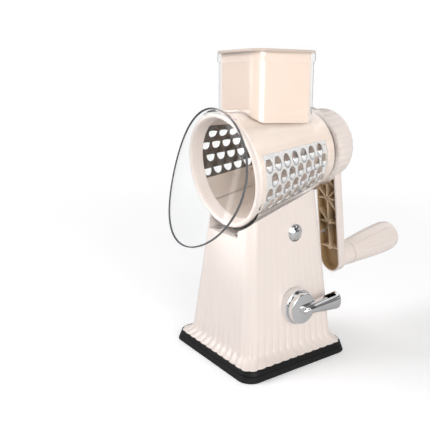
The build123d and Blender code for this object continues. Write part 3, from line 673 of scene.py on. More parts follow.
def copiesTree():
    # Sets one shape at each point of a mesh, turned as the point says
    tree = bpy.data.node_groups.new("seatedCopies", "GeometryNodeTree")
    face = tree.interface
    face.new_socket("Geometry", in_out="INPUT", socket_type="NodeSocketGeometry")
    face.new_socket("Shape", in_out="INPUT", socket_type="NodeSocketObject")
    made = face.new_socket("Size", in_out="INPUT", socket_type="NodeSocketFloat")
    made.default_value = 1.0
    face.new_socket("Finish", in_out="INPUT", socket_type="NodeSocketMaterial")
    face.new_socket("Geometry", in_out="OUTPUT", socket_type="NodeSocketGeometry")
    given = node(tree, "NodeGroupInput", -700, 0)
    out = node(tree, "NodeGroupOutput", 700, 0)
    shape = tree.nodes.new("GeometryNodeObjectInfo")
    tree.links.new(given.outputs["Shape"], shape.inputs["Object"])
    turn = tree.nodes.new("GeometryNodeInputNamedAttribute")
    turn.data_type = "FLOAT_VECTOR"
    turn.inputs["Name"].default_value = "turn"
    rotation = tree.nodes.new("FunctionNodeEulerToRotation")
    tree.links.new(turn.outputs[0], rotation.inputs[0])
    copies = tree.nodes.new("GeometryNodeInstanceOnPoints")
    tree.links.new(given.outputs["Geometry"], copies.inputs["Points"])
    tree.links.new(shape.outputs["Geometry"], copies.inputs["Instance"])
    tree.links.new(rotation.outputs[0], copies.inputs["Rotation"])
    tree.links.new(given.outputs["Size"], copies.inputs["Scale"])
    whole = tree.nodes.new("GeometryNodeRealizeInstances")
    tree.links.new(copies.outputs[0], whole.inputs[0])
    finish = tree.nodes.new("GeometryNodeSetMaterial")
    tree.links.new(whole.outputs[0], finish.inputs["Geometry"])
    tree.links.new(given.outputs["Finish"], finish.inputs["Material"])
    tree.links.new(finish.outputs[0], out.inputs[0])
    return tree


flutes = fluteTree()
seated = copiesTree()


def runTree(piece, tree, angle=35.0, **values):
    change = piece.modifiers.new("grow", "NODES")
    change.node_group = tree
    for item in tree.interface.items_tree:
        if item.in_out == "INPUT" and item.name in values:
            change[item.identifier] = values[item.name]
    piece.data.update()
    bake(piece, angle)
    return piece


def setAttribute(piece, name, kind, values):
    made = piece.data.attributes.new(name, kind, "POINT")
    flat = [v for value in values for v in value] if kind == "FLOAT_VECTOR" else values
    made.data.foreach_set("vector" if kind == "FLOAT_VECTOR" else "value", flat)


# ---------- tower ----------
tower = {
    "baseHalfX": 54.1, "fallX": 0.127, "front": 56.5, "fallFront": 0.093, "rear": 59.2, "fallRear": 0.078,
    "skirtZ": 10.4, "skirtHalfX": 61.5, "skirtHalfY": 63.0, "coveZ": 22.0, "topZ": 185.0, "wall": 3.2,
    "flutes": 48, "stepsPerFlute": 12, "deep": 1.4, "middle": 0.30, "shallow": 0.16, "fadeZ": 46.0,
    "corner": 12.0, "topCorner": 10.0, "rise": 34, "seat": 4.35,
    "insideZs": (11.5, 13, 15, 18), "insideTopZ": 118.0,
    "channel": (-29.0, 19.0, -80, 36.0, 127.0, 220),     # x, y and z limits of the sleeve's foot channel
}


def outlinePoint(f, halfX, y0, y1, corner):
    # Point and inward direction at fraction f of a rounded rectangle
    w, h, q = 2 * (halfX - corner), y1 - y0 - 2 * corner, math.pi * corner / 2
    lengths = (h / 2, q, w, q, h, q, w, q, h / 2)
    d = (f % 1.0) * sum(lengths)
    k = 0
    while k < 8 and d > lengths[k]:
        d -= lengths[k]
        k += 1
    if k == 0:
        return (halfX, (y0 + y1) / 2 + d), (-1, 0)
    if k == 8:
        return (halfX, y0 + corner + d), (-1, 0)
    if k == 2:
        return (halfX - corner - d, y1), (0, -1)
    if k == 4:
        return (-halfX, y1 - corner - d), (1, 0)
    if k == 6:
        return (-halfX + corner + d, y0), (0, 1)
    turn = d / corner + (k - 1) / 2 * math.pi / 2
    centreX = halfX - corner if k in (1, 7) else -halfX + corner
    centreY = y1 - corner if k in (1, 3) else y0 + corner
    out = (math.cos(turn), math.sin(turn))
    return (centreX + corner * out[0], centreY + corner * out[1]), (-out[0], -out[1])


def towerSizes(z):
    t = tower
    hx = t["baseHalfX"] - t["fallX"] * z
    y0, y1 = -(t["front"] - t["fallFront"] * z), t["rear"] - t["fallRear"] * z
    part = min(1.0, (z - t["skirtZ"]) / (t["coveZ"] - t["skirtZ"]))
    part = 1 - (1 - part) ** 3
    hx = t["skirtHalfX"] + (hx - t["skirtHalfX"]) * part
    y0 = -t["skirtHalfY"] + (y0 + t["skirtHalfY"]) * part
    y1 = t["skirtHalfY"] + (y1 - t["skirtHalfY"]) * part
    return hx, y0, y1


def makeTower():
    t = tower
    count = t["flutes"] * t["stepsPerFlute"]
    heights = [t["skirtZ"] + (t["coveZ"] - t["skirtZ"]) * k / 12 for k in range(12)]
    heights += [t["coveZ"] + (t["topZ"] - t["coveZ"]) * k / t["rise"] for k in range(t["rise"] + 1)]
    rows, around, inward = [], [], []
    for z in heights:
        hx, y0, y1 = towerSizes(z)
        up = max(0.0, (z - t["coveZ"]) / (t["topZ"] - t["coveZ"]))
        corner = t["corner"] + (t["topCorner"] - t["corner"]) * up
        depth = t["middle"] + (t["shallow"] - t["middle"]) * up
        near = max(0.0, 1 - (z - t["skirtZ"]) / (t["fadeZ"] - t["skirtZ"]))
        depth += (t["deep"] - t["middle"]) * near ** 1.5
        row = []
        for k in range(count):
            (x, y), (inX, inY) = outlinePoint(k / count, hx, y0, y1, corner)
            row.append((x, y, z))
            around.append(k / count)
            inward.append((inX * depth * mm, inY * depth * mm, 0.0))
        rows.append(row)
    piece = rowsPiece("towerShell", rows)
    setAttribute(piece, "around", "FLOAT", around)
    setAttribute(piece, "inward", "FLOAT_VECTOR", inward)
    runTree(piece, flutes, Flutes=float(t["flutes"]), Fullness=0.8, Finish=looks["creamPlastic"])
    # Inside: the hollow, the saddle under the sleeve, the foot channel and the seats
    cavity = []
    for z in (t["skirtZ"] - 1, *t["insideZs"], t["coveZ"], t["insideTopZ"]):
        hx, y0, y1 = towerSizes(max(z, t["skirtZ"]) + 1.5)
        cavity.append(roundedLoop(z, hx - t["wall"], y0 + t["wall"], y1 - t["wall"], t["corner"] - t["wall"]))
    saddle = lathe("saddle", [(0.01, -40), (coneR(-40, t["seat"]), -40), (coneR(150, t["seat"]), 150),
                              (0.01, 150)], segments=256)
    lever = leverSizes
    cutters = [saddle, rowsPiece("cavity", cavity), boxPiece("channel", *t["channel"]),
               disc(8.75, 28, 60, button["y"], button["z"]), disc(4.9, 20, 53.8, lever["y"], lever["z"]),
               disc(17.5, 45.8, 74, lever["y"], lever["z"])]
    return carve(piece, cutters)


# ---------- button and lever ----------
button = {"y": 11.4, "z": 128.1, "bezelR": 8.75, "bezelOut": 38.98, "ring": 1.15, "gap": 0.3, "dome": 2.6}
leverSizes = {
    "y": 5.8, "z": 57.7, "collarR": 17.5, "collarX0": 45.77, "collarX1": 53.8, "hubR": 15.2, "hubX1": 60.2,
    "endX": 66.0, "length": 46.0,
    # How far along, half width, depth and set back of each section
    "stations": ((0.0, 2.4, 6.6, 1.9), (0.02, 3.0, 7.2, 1.2), (0.055, 4.1, 8.4, 0.0), (0.3, 5.3, 8.7, 0.0),
                 (0.6, 6.8, 9.05, 0.0), (0.85, 8.1, 9.35, 0.0), (0.955, 8.6, 9.4, 0.0),
                 (0.985, 8.4, 9.2, 0.25), (1.0, 7.6, 8.6, 0.7)),
}


def sideFrame(y, z):
    # Local Y points along the world's X, outwards from the tower's side
    return Matrix.Translation((0, y, z)) @ Matrix.Rotation(math.radians(-90), 4, "Z")


def roundedProfile(radius, s0, s1, edge, steps=5, inner=0.0):
    points = [(inner, s0), (radius, s0)]
    for k in range(steps + 1):
        turn = math.pi / 2 * k / steps
        points.append((radius - edge + edge * math.cos(turn), s1 - edge + edge * math.sin(turn)))
    return points + [(inner, s1)]


def makeButton():
    b = button
    radius = b["bezelR"] - b["ring"] - b["gap"]
    place = sideFrame(b["y"], b["z"])
    ring = [(b["bezelR"] - b["ring"], 33.0), (b["bezelR"], 33.0), (b["bezelR"], b["bezelOut"] - 0.7)]
    ring += [(b["bezelR"] - 0.2, b["bezelOut"] - 0.2), (b["bezelR"] - 0.6, b["bezelOut"])]
    ring += [(b["bezelR"] - b["ring"], b["bezelOut"] - 0.1)]
    wear(lathe("bezelRing", ring, place, segments=72), "chromeTrim", "button_bezel")
    big = (radius ** 2 + b["dome"] ** 2) / (2 * b["dome"])
    top = b["bezelOut"] + b["dome"]
    profile = [(0.001, b["bezelOut"] - 2.2), (radius, b["bezelOut"] - 2.2)]
    for k in range(11):
        turn = math.asin(radius / big) * (1 - k / 10)
        profile.append((max(0.001, big * math.sin(turn)), top - big + big * math.cos(turn)))
    dome = lathe("pressButton", profile, place, segments=72, angle=50)
    stem = disc(4.2, 28.0, b["bezelOut"] - 2.1, b["y"], b["z"])
    wear(carve(dome, [stem], "UNION", 50), "chromeTrim", "release_button")


def leverLoop(y, half, deep, back, count=20):
    # Half-round outside, flat inside, with soft corners
    v = leverSizes
    side = deep * 0.45
    rear = v["endX"] - deep
    soft = min(1.0, half * 0.3)
    points = [(rear + soft * 0.3, y, v["z"] - 1 + half), (rear, y, v["z"] - 1 + half - soft)]
    points += [(rear, y, v["z"] - 1 - half + soft), (rear + soft * 0.3, y, v["z"] - 1 - half)]
    for k in range(count + 1):
        turn = math.radians(-90 + 180 * k / count)
        x = rear - back + side + (deep - side) * math.cos(turn)
        points.append((x, y, v["z"] - 1 + half * math.sin(turn)))
    return points


def makeLever():
    v = leverSizes
    place = sideFrame(v["y"], v["z"])
    collar = roundedProfile(v["collarR"], v["collarX0"], v["collarX1"], 0.7, inner=4.56)
    wear(lathe("leverCollar", collar, place, segments=120), "chromeTrim", "lever_collar")
    hub = roundedProfile(v["hubR"], v["collarX1"] + 0.2, v["hubX1"], 1.1, inner=0.001)
    hub = lathe("leverHub", hub, place, segments=120)
    bore = disc(4.5, 40, v["hubX1"] - 2.0, v["y"], v["z"])
    wear(carve(hub, [bore]), "chromeTrim", "lever_hub")
    first, last = v["y"] - 3.0, v["y"] + v["length"]
    rows = [leverLoop(first + (last - first) * t, half, deep, back)
            for t, half, deep, back in v["stations"]]
    arm = rowsPiece("leverPaddle", rows, angle=50)
    cuts = [disc(v["hubR"] + 0.05, 40, v["hubX1"], v["y"], v["z"], segments=120),
            boxPiece("hollow", v["endX"] - 7.4, v["endX"] - 2.6, last - 17, last - 5, v["z"] - 5, v["z"] + 20)]
    wear(carve(arm, cuts, angle=50), "chromeTrim", "lever_arm")


# ---------- base ----------
base = {"halfX": 65.65, "halfY": 66.5, "topZ": 5.6, "draft": math.tan(math.radians(15)), "corner": 14.0,
        "groove": 0.7, "inset": 0.9, "seamZ": 10.4}


def baseLoop(z, inset=0.0):
    hx, hy = base["halfX"] - base["draft"] * z - inset, base["halfY"] - base["draft"] * z - inset
    return roundedLoop(z, hx, -hy, hy, base["corner"])


def makeBase():
    b = base
    pad = rowsPiece("suctionPad", [baseLoop(0, 0.5), baseLoop(0.35), baseLoop(b["topZ"] - 0.5),
                                   baseLoop(b["topZ"], 0.4)])
    recess = disc(40.0, 2.0, b["topZ"] + 1, 0, 0, segments=96)
    recess.data.transform(Matrix.Rotation(math.radians(-90), 4, "Y"))
    wear(carve(pad, [recess]), "padRubber", "suction_pad")
    lift = b["topZ"] + b["groove"]
    rows = [baseLoop(b["topZ"] + 0.01, b["inset"]), baseLoop(lift, b["inset"]), baseLoop(lift + 0.01, 0.25)]
    rows += [baseLoop(lift + 0.3), baseLoop(b["seamZ"] - 0.5), baseLoop(b["seamZ"] - 0.15, 0.15)]
    rows += [baseLoop(b["seamZ"], 0.5)]
    plate = rowsPiece("basePlate", rows)
    wells = []
    for radius, z1 in ((16.0, 8.4), (5.06, 20.0)):
        well = disc(radius, 0, z1, leverSizes["y"], 0, segments=64)
        well.data.transform(Matrix.Rotation(math.radians(-90), 4, "Y"))
        wells.append(well)
    wear(carve(plate, wells), "blackPlastic", "base_plate")


# ---------- drum ----------
drum = {"lipR": 3.0, "lipS": 3.2, "wall": 2.4, "s0": 3.4, "s1": 109.4, "rearT": 2.8, "bossR": 14.0,
        "split": 0.12}
panel = {"s0": 8.6, "s1": 96.6, "mid": -16.5, "span": 74.0, "thick": 0.6, "sunk": 0.25, "lap": 1.6,
         "rowAngles": (8.6, -7.0, -22.3, -37.6), "rowStarts": (14.1, 19.9, 14.1, 19.9),
         "pitch": 11.9, "count": 7, "toothHalfW": 4.6, "toothHalfL": 6.9, "rise": 1.6, "fullness": 0.78,
         "meshStep": 2.4, "dotS": 93.6, "dotAngle": 14.0, "dotR": 1.0}
halfTurns = {"a": 0.0, "b": 180.0}


def makeHalf(side):
    d, p = drum, panel
    turn = halfTurns[side]
    profile = [(coneR(d["s0"], -d["wall"]), d["s0"]), (coneR(d["s0"]), d["s0"])]
    for k in range(6):
        bend = math.pi / 2 * k / 5
        profile.append((coneR(d["s1"] - d["lipS"]) - d["lipR"] + d["lipR"] * math.cos(bend),
                        d["s1"] - d["lipS"] + d["lipS"] * math.sin(bend)))
    profile += [(d["bossR"], d["s1"]), (d["bossR"], d["s1"] - d["rearT"])]
    profile += [(coneR(d["s1"] - d["rearT"], -d["wall"]), d["s1"] - d["rearT"])]
    shell = lathe("drumShell" + side.upper(), profile, segments=110,
                  start=p["mid"] - 90 + d["split"] / 2 + turn, sweep=180 - d["split"])
    low = p["mid"] - p["span"] / 2 + turn
    lapAngle = math.degrees(p["lap"] / axis["radius"])
    rebate = band("rebate", p["s0"], p["s1"], 1, -p["thick"] - p["sunk"], low, p["span"], 60)
    window = band("window", p["s0"] + p["lap"], p["s1"] - p["lap"], 1, -8, low + lapAngle,
                  p["span"] - 2 * lapAngle, 60)
    carve(shell, [rebate, window])
    extras = []
    for s in (40.0, 62.0):
        nubAngle = p["mid"] + p["span"] / 2 + 5.0 + turn
        place = axisFrame @ Matrix.Rotation(-math.radians(nubAngle), 4, "Y")
        x = coneR(s, -d["wall"]) - 0.4
        nub = [(0.001, x - 1.2), (0.9, x - 1.2), (1.4, x - 0.7), (1.6, x + 0.8), (0.001, x + 0.8)]
        spot = place @ Matrix.Translation((0, s, 0)) @ Matrix.Rotation(math.radians(-90), 4, "Z")
        extras.append(lathe("nub", nub, spot, segments=24))
    for top in (p["mid"] - 62, p["mid"] + 64):
        line = [(coneR(9.4, -d["wall"] - 0.9), 9.4), (coneR(9.4, -d["wall"] + 0.1), 9.4)]
        line += [(coneR(106.6, -d["wall"] + 0.1), 106.6), (coneR(106.6, -d["wall"] - 0.9), 106.6)]
        extras.append(lathe("joinLine", line, segments=2, start=top - 1.4 + turn, sweep=1.4))
    carve(shell, extras, "UNION")
    wear(shell, "drumCream", "drum_half_" + side)


def toothShape():
    # A raised half bowl, open along its upper edge; local X is out of the panel, Z is round the drum
    p = panel
    a, b, thick = p["toothHalfW"] + 0.12, p["toothHalfL"] + 0.12, 0.5
    mean = 46.5
    across, down = 18, 9
    points, faces, dish = [], [], []
    for layer in (0.0, -thick):
        for j in range(down + 1):
            for k in range(across + 1):
                side = -math.cos(math.pi * k / across) * j / down
                # Painted shade: darker towards the rim and towards one side of the dome, stored as a colour
                # factor
                paintedDarkening = min(1.0, max(0.0, (j / down - 0.55) / 0.4)) * 0.62 + max(0.0, side - 0.15) * 0.45
                dish.append(max(0.18, 1.0 - paintedDarkening))
                turn = math.pi * k / across
                reach = j / down
                y, z = -a * math.cos(turn) * reach, -b * math.sin(turn) * reach
                level = max(0.0, 1 - reach ** 2) ** p["fullness"]
                x = p["rise"] * level + layer - p["sunk"] - z * z / (2 * mean)
                points.append((x, y, z))
    count = across + 1
    sheet = (down + 1) * count
    for j in range(down):
        for k in range(across):
            first = j * count + k
            faces.append((first, first + 1, first + count + 1, first + count))
            faces.append(tuple(i + sheet for i in (first + count, first + count + 1, first + 1, first)))
    for j in range(down):
        for k in (0, across):
            first = j * count + k
            faces.append((first, first + count, first + count + sheet, first + sheet))
    for k in range(across):
        first = down * count + k
        faces.append((first, first + 1, first + 1 + sheet, first + sheet))
    mesh = bpy.data.meshes.new("tooth")
    mesh.from_pydata([Vector(point) * mm for point in points], [], faces)
    piece = placed("tooth", mesh)
    setAttribute(piece, "dish", "FLOAT", dish)
    work = bmesh.new()
    work.from_mesh(mesh)
    bmesh.ops.remove_doubles(work, verts=work.verts, dist=2e-7)
    bmesh.ops.recalc_face_normals(work, faces=work.faces)
    work.to_mesh(mesh)
    work.free()
    shade(piece, 45)
    return piece


def toothPlaces():
    p = panel
    for angle, start in zip(p["rowAngles"], p["rowStarts"]):
        for k in range(p["count"]):
            yield start + k * p["pitch"], angle


def makePanelSheet(name, turn):
    # Flat layout in (s, arc length), meshed round the openings, then rolled onto the cone
    p = panel
    mean = coneR((p["s0"] + p["s1"]) / 2)
    edge = 0.15
    low = math.radians(p["mid"] - p["span"] / 2) * mean + edge
    high = math.radians(p["mid"] + p["span"] / 2) * mean - edge
    s0, s1 = p["s0"] + edge, p["s1"] - edge
    points, edges = [], []

    def addLoop(loop):
        first = len(points)
        points.extend(Vector(q) for q in loop)
        edges.extend((first + k, first + (k + 1) % len(loop)) for k in range(len(loop)))

    across, along = round((high - low) / p["meshStep"]), round((s1 - s0) / p["meshStep"])
    border = [(s0 + (s1 - s0) * k / along, low) for k in range(along)]
    border += [(s1, low + (high - low) * k / across) for k in range(across)]
    border += [(s1 - (s1 - s0) * k / along, high) for k in range(along)]
    border += [(s0, high - (high - low) * k / across) for k in range(across)]
    addLoop(border)
    holes = []
    for s, angle in toothPlaces():
        holes.append((s, math.radians(angle) * mean, p["toothHalfW"], p["toothHalfL"] * mean / coneR(s)))
    holes.append((p["dotS"], math.radians(p["dotAngle"]) * mean, p["dotR"], p["dotR"]))
    for s, w, a, b in holes:
        count = 36 if a > 2 else 14
        addLoop([(s + a * math.cos(2 * math.pi * k / count), w + b * math.sin(2 * math.pi * k / count))
                 for k in range(count)])
    for i in range(1, along):
        for j in range(1, across):
            s, w = s0 + (s1 - s0) * i / along, low + (high - low) * j / across
            if all(((s - hs) / (a + 0.7)) ** 2 + ((w - hw) / (b + 0.7)) ** 2 > 1 for hs, hw, a, b in holes):
                points.append(Vector((s, w)))
    flat, _, cells, _, _, _ = delaunay_2d_cdt(points, edges, [], 0, 1e-5)
    kept = []
    for cell in cells:
        s = sum(flat[i][0] for i in cell) / len(cell)
        w = sum(flat[i][1] for i in cell) / len(cell)
        if s0 < s < s1 and low < w < high and \
                all(((s - hs) / a) ** 2 + ((w - hw) / b) ** 2 > 0.999 for hs, hw, a, b in holes):
            kept.append(tuple(cell))
    count = len(flat)
    solid = []
    for level in (-p["sunk"], -p["sunk"] - p["thick"]):
        solid += [ringPoint(s, math.degrees(w / mean) + turn, coneR(s, level)) for s, w in flat]
    faces = list(kept) + [tuple(i + count for i in reversed(cell)) for cell in kept]
    used = {}
    for cell in kept:
        for k in range(len(cell)):
            a, b = cell[k], cell[(k + 1) % len(cell)]
            used[(a, b)] = True
    for a, b in used:
        if (b, a) not in used:
            faces.append((b, a, a + count, b + count))
    piece = meshPiece(name, solid, faces, axisFrame, angle=30)
    work = bmesh.new()
    work.from_mesh(piece.data)
    bmesh.ops.delete(work, geom=[v for v in work.verts if not v.link_faces], context="VERTS")
    work.to_mesh(piece.data)
    work.free()
    return piece


def darkenInside(piece):
    # Painted shade: the face towards the drum's axis takes a dark brown steel, standing in for the shade inside
    # the drum
    piece.data.materials.append(looks["bladeInner"])
    back = axisFrame.inverted()
    for polygon in piece.data.polygons:
        centre = back @ (polygon.center / mm)
        normal = back.to_3x3() @ polygon.normal
        if normal.x * centre.x + normal.z * centre.z < -0.2 * math.hypot(centre.x, centre.z):
            polygon.material_index = 1


def makePanel(side):
    turn = halfTurns[side]
    sheet = makePanelSheet("bladeSheet" + side.upper(), turn)
    tooth = toothShape()
    spots, turns = [], []
    for s, angle in toothPlaces():
        roll = Matrix.Rotation(-math.radians(angle + turn), 4, "Y")
        place = axisFrame @ roll @ Matrix.Translation((coneR(s), s, 0)) @ \
            Matrix.Rotation(math.radians(axis["taper"]), 4, "Z")
        spots.append(place.to_translation())
        turns.append(tuple(place.to_euler()))
    rows = bpy.data.meshes.new("toothRows")
    rows.from_pydata([spot * mm for spot in spots], [], [])
    teeth = placed("bladeTeeth" + side.upper(), rows)
    setAttribute(teeth, "turn", "FLOAT_VECTOR", turns)
    runTree(teeth, seated, angle=45, Shape=tooth, Size=1.0, Finish=looks["toothSteel"])
    bpy.data.objects.remove(tooth)
    wear(sheet, "bladeSteel", "blade_" + side)
    teeth.data.materials.clear()
    teeth.data.materials.append(looks["toothSteel"])
    darkenInside(sheet)
    darkenInside(teeth)
    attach(teeth, bodyOf["blade_" + side])


def makeRing():
    d = drum
    s0 = d["s0"]
    outer = [(50.6, -1.8), (50.9, -2.7), (51.5, -3.3), (52.3, -3.6), (53.4, -3.6), (54.2, -3.3), (54.8, -2.6)]
    outer += [(55.0, -1.6), (coneR(s0) + 0.4, s0 - 0.1), (coneR(s0, -d["wall"]), s0 - 0.1)]
    outer += [(coneR(9.2, -d["wall"]) - 0.05, 9.2), (coneR(9.2, -d["wall"]) - 1.5, 9.2)]
    outer += [(49.7, 4.4), (49.9, 3.9), (49.5, 3.6), (50.0, 0.5)]
    wear(lathe("drumMouth", outer, segments=192, angle=28), "creamPlastic", "drum_ring")


# ---------- clear housing ----------
housing = {
    "gap": 2.0, "wall": 2.2, "s0": 0.5, "s1": 113.0, "rearT": 2.2, "bushR": 9.5,
    "hopperX": 33.5, "hopperY0": -35.8, "hopperY1": 39.9, "hopperT": 2.2, "rimZ0": 289.5, "rimZ1": 297.5,
    "rimOut": 1.5, "corner": 13.0, "innerCorner": 10.8, "flareZ": 243.0, "flareDrop": 18.0, "flareOut": 7.0,
    "webXs": (12.0, -22.0), "webT": 2.4, "webZ": 127.2, "webY0": -41.0, "webY1": 33.0,
}


def hopperLoop(z, out, corner):
    h = housing
    return roundedLoop(z, h["hopperX"] + out, h["hopperY0"] - out, h["hopperY1"] + out, corner)


def hopperHollow():
    h, wall = housing, housing["hopperT"]
    return rowsPiece("hopperInner", [roundedLoop(z, h["hopperX"] - wall, h["hopperY0"] + wall,
                                                 h["hopperY1"] - wall, h["innerCorner"]) for z in (190, 320)])


def coneCutter(extra, s0=-20.0, s1=140.0, segments=192):
    profile = [(0.01, s0), (coneR(s0, extra), s0), (coneR(s1, extra), s1), (0.01, s1)]
    return lathe("coneCut", profile, segments=segments)


def makeHousing():
    h = housing
    add = h["gap"] + h["wall"]
    profile = [(coneR(h["s0"], h["gap"]), h["s0"]), (coneR(h["s0"], h["gap"] + 0.3), h["s0"])]
    profile += [(coneR(h["s0"], add - 0.3), h["s0"]), (coneR(h["s0"] + 0.4, add), h["s0"] + 0.4)]
    profile += [(coneR(h["s1"] - 0.6, add), h["s1"] - 0.6), (coneR(h["s1"], add - 0.6), h["s1"])]
    profile += [(h["bushR"], h["s1"]), (h["bushR"], h["s1"] - h["rearT"])]
    profile += [(coneR(h["s1"] - h["rearT"], h["gap"]), h["s1"] - h["rearT"])]
    sleeve = lathe("clearHousing", profile, segments=192)
    hopper = [hopperLoop(190, 0, h["corner"]), hopperLoop(h["rimZ0"] - 0.4, 0, h["corner"])]
    hopper += [hopperLoop(h["rimZ0"] + 0.6, h["rimOut"] * 0.8, h["corner"] + 1.2)]
    hopper += [hopperLoop(h["rimZ0"] + 1.4, h["rimOut"], h["corner"] + 1.5)]
    hopper += [hopperLoop(h["rimZ1"] - 0.5, h["rimOut"], h["corner"] + 1.5)]
    hopper += [hopperLoop(h["rimZ1"], h["rimOut"] - 0.5, h["corner"] + 1.0)]
    tall = rowsPiece("hopper", hopper, angle=40)
    rows = []
    for k in range(13):
        t = k / 12
        out = h["flareOut"] * (1 - math.cos(t * math.pi / 2)) ** 1.3
        rows.append(hopperLoop(h["flareZ"] - h["flareDrop"] * t, out, h["corner"] + out))
    flare = rowsPiece("flare", rows, angle=50)
    inner = hopperHollow()
    carve(tall, [flare], "UNION")
    carve(tall, [inner, coneCutter(h["gap"] + 0.2)])
    inner = hopperHollow()
    carve(sleeve, [inner])
    carve(sleeve, [tall], "UNION")
    feet = []
    for x in h["webXs"]:
        foot = boxPiece("web", x - h["webT"] / 2, x + h["webT"] / 2, h["webY0"], h["webY1"], h["webZ"], 190)
        rail = boxPiece("rail", x - 3.2, x + 3.2, h["webY0"], h["webY1"], h["webZ"], h["webZ"] + 2.0)
        carve(foot, [rail], "UNION")
        carve(foot, [coneCutter(h["gap"] + 0.5)])
        feet.append(foot)
    catch = boxPiece("catch", 8.0, 16.0, button["y"] - 4.8, button["y"] + 4.8, 131.4, 136.1)
    railGap = boxPiece("railGap", 0.0, 10.8, button["y"] - 4.8, button["y"] + 4.8, 127.0, 130.0)
    carve(feet[0], [catch, railGap])
    carve(sleeve, feet, "UNION", angle=38)
    wear(sleeve, "clearPlastic", "clear_housing")


pusher = {"gap": 0.5, "wall": 2.4, "clear": 2.3, "corner": 10.3, "z0": 205.0, "capT": 2.5, "capOut": 0.9,
          "capCorner": 13.5, "hollowCorner": 7.9, "plugCorner": 7.8, "wellCorner": 5.9, "plugFit": 0.05}


def pusherLoop(z, inset, corner):
    h, g = housing, housing["hopperT"] + pusher["gap"] + inset
    return roundedLoop(z, h["hopperX"] - g, h["hopperY0"] + g, h["hopperY1"] - g, corner)


def makePusher():
    p, h = pusher, housing
    body = rowsPiece("pusherBody", [pusherLoop(z, 0, p["corner"]) for z in (p["z0"], h["rimZ1"])])
    carve(body, [coneCutter(p["clear"])])
    hollow = rowsPiece("hollow", [pusherLoop(z, p["wall"], p["hollowCorner"]) for z in (p["z0"], 320)])
    carve(hollow, [coneCutter(p["clear"] + p["wall"])])
    wear(carve(body, [hollow]), "pusherCream", "pusher_body")
    out, z0 = p["capOut"], h["rimZ1"]
    rows = [hopperLoop(z0 + up, out - inset, p["capCorner"] - inset) for up, inset in
            ((0, 0.3), (0.3, 0), (p["capT"] - 0.9, 0), (p["capT"] - 0.4, 0.2), (p["capT"] - 0.1, 0.6),
             (p["capT"], 1.2))]
    cap = rowsPiece("pusherCap", rows)
    plugWall = p["wall"] + p["plugFit"]
    plug = rowsPiece("plug", [pusherLoop(z, plugWall, p["plugCorner"]) for z in (z0 - 4, z0 + 1)])
    well = rowsPiece("well", [pusherLoop(z, p["wall"] + 2, p["wellCorner"]) for z in (z0 - 5, z0 - 0.01)])
    carve(plug, [well])
    wear(carve(cap, [plug], "UNION"), "pusherCream", "pusher_cap")


# ---------- splash guard ----------
guard = {"lean": 14.9, "bend": 185.0, "halfX": 59.2, "halfZ": 65.0, "thick": 2.0, "ahead": 4.5, "rise": 1.7,
         "rings": 14, "segments": 160, "rimBand": 1.3}


def guardFrame():
    g = guard
    tilt, lean = math.radians(axis["tilt"]), math.radians(g["lean"])
    radius = coneR(0.5, 4.2)
    topY = axis["y"] + 0.5 * math.cos(tilt) - radius * math.sin(tilt) - g["ahead"]
    topZ = axis["z"] + 0.5 * math.sin(tilt) + radius * math.cos(tilt) + g["rise"]
    at = (0, topY - g["halfZ"] * math.sin(lean), topZ - g["halfZ"] * math.cos(lean))
    return Matrix.Translation(at) @ Matrix.Rotation(-lean, 4, "X")


def makeGuard():
    g = guard
    points, faces = [], []
    soft = 0.35
    layers = []

    def surface(x, z, offset):
        turn = math.asin(x / g["bend"])
        r = g["bend"] - offset
        return r * math.sin(turn), g["bend"] - r * math.cos(turn), z

    def addRing(scale, inset, offset):
        first = len(points)
        for k in range(g["segments"]):
            turn = 2 * math.pi * k / g["segments"]
            x = (g["halfX"] - inset) * scale * math.cos(turn)
            z = (g["halfZ"] - inset) * scale * math.sin(turn)
            points.append(surface(x, z, offset))
        layers.append(first)

    half = g["thick"] / 2
    for k in range(1, g["rings"] + 1):
        addRing(k / g["rings"], g["rimBand"], -half)
    addRing(1.0, soft, -half)
    addRing(1.0, 0.0, -half + soft)
    addRing(1.0, 0.0, half - soft)
    addRing(1.0, soft, half)
    for k in range(g["rings"], 0, -1):
        addRing(k / g["rings"], g["rimBand"], half)
    rimStart = g["rings"] - 1
    rimFaces = set()
    for j in range(len(layers) - 1):
        for k in range(g["segments"]):
            n = (k + 1) % g["segments"]
            if rimStart <= j <= rimStart + 4:
                rimFaces.add(len(faces))
            faces.append((layers[j] + k, layers[j] + n, layers[j + 1] + n, layers[j + 1] + k))
    faces.append(tuple(range(layers[0], layers[0] + g["segments"])))
    faces.append(tuple(range(layers[-1], layers[-1] + g["segments"])))
    piece = meshPiece("splashGuard", points, faces, guardFrame(), angle=60)
    wear(piece, "clearGuard", "splash_guard")
    # Painted shade: the rim band's faces take the dark rim plastic
    piece.data.materials.append(looks["guardRim"])
    for index in rimFaces:
        piece.data.polygons[index].material_index = 1


# ---------- crank and grip ----------
crank = {"s0": 114.2, "s1": 141.0, "knobR": 37.2, "lobes": 28, "stepsPerLobe": 10, "lobeDeep": 0.75,
         "armLen": 134.0, "gripS0": 159.7, "gripS1": 236.8, "gripR0": 14.1, "gripR1": 17.9, "bulgeS": 222.0,
         "capDrop": 7.0, "grooves": 8, "armS0": 131.0, "armHalf": 15.0, "armWall": 2.0, "pocketR0": 38.2,
         "armProud": 0.06,     # keeps the arm's rear face off the knob's, so that their union closes
         "bossRs": (61.8, 89.3, 119.0), "ribS0": 132.2, "ribT": 1.5, "pinR": 4.0, "gripBore": 4.08}


def armLoop(half, r0, r1, s, steps=28):
    points = [(half, s, -r0)]
    for k in range(steps + 1):
        turn = math.pi * k / steps
        points.append((half * math.cos(turn), s, -r1 - half * math.sin(turn)))
    return points + [(-half, s, -r0)]


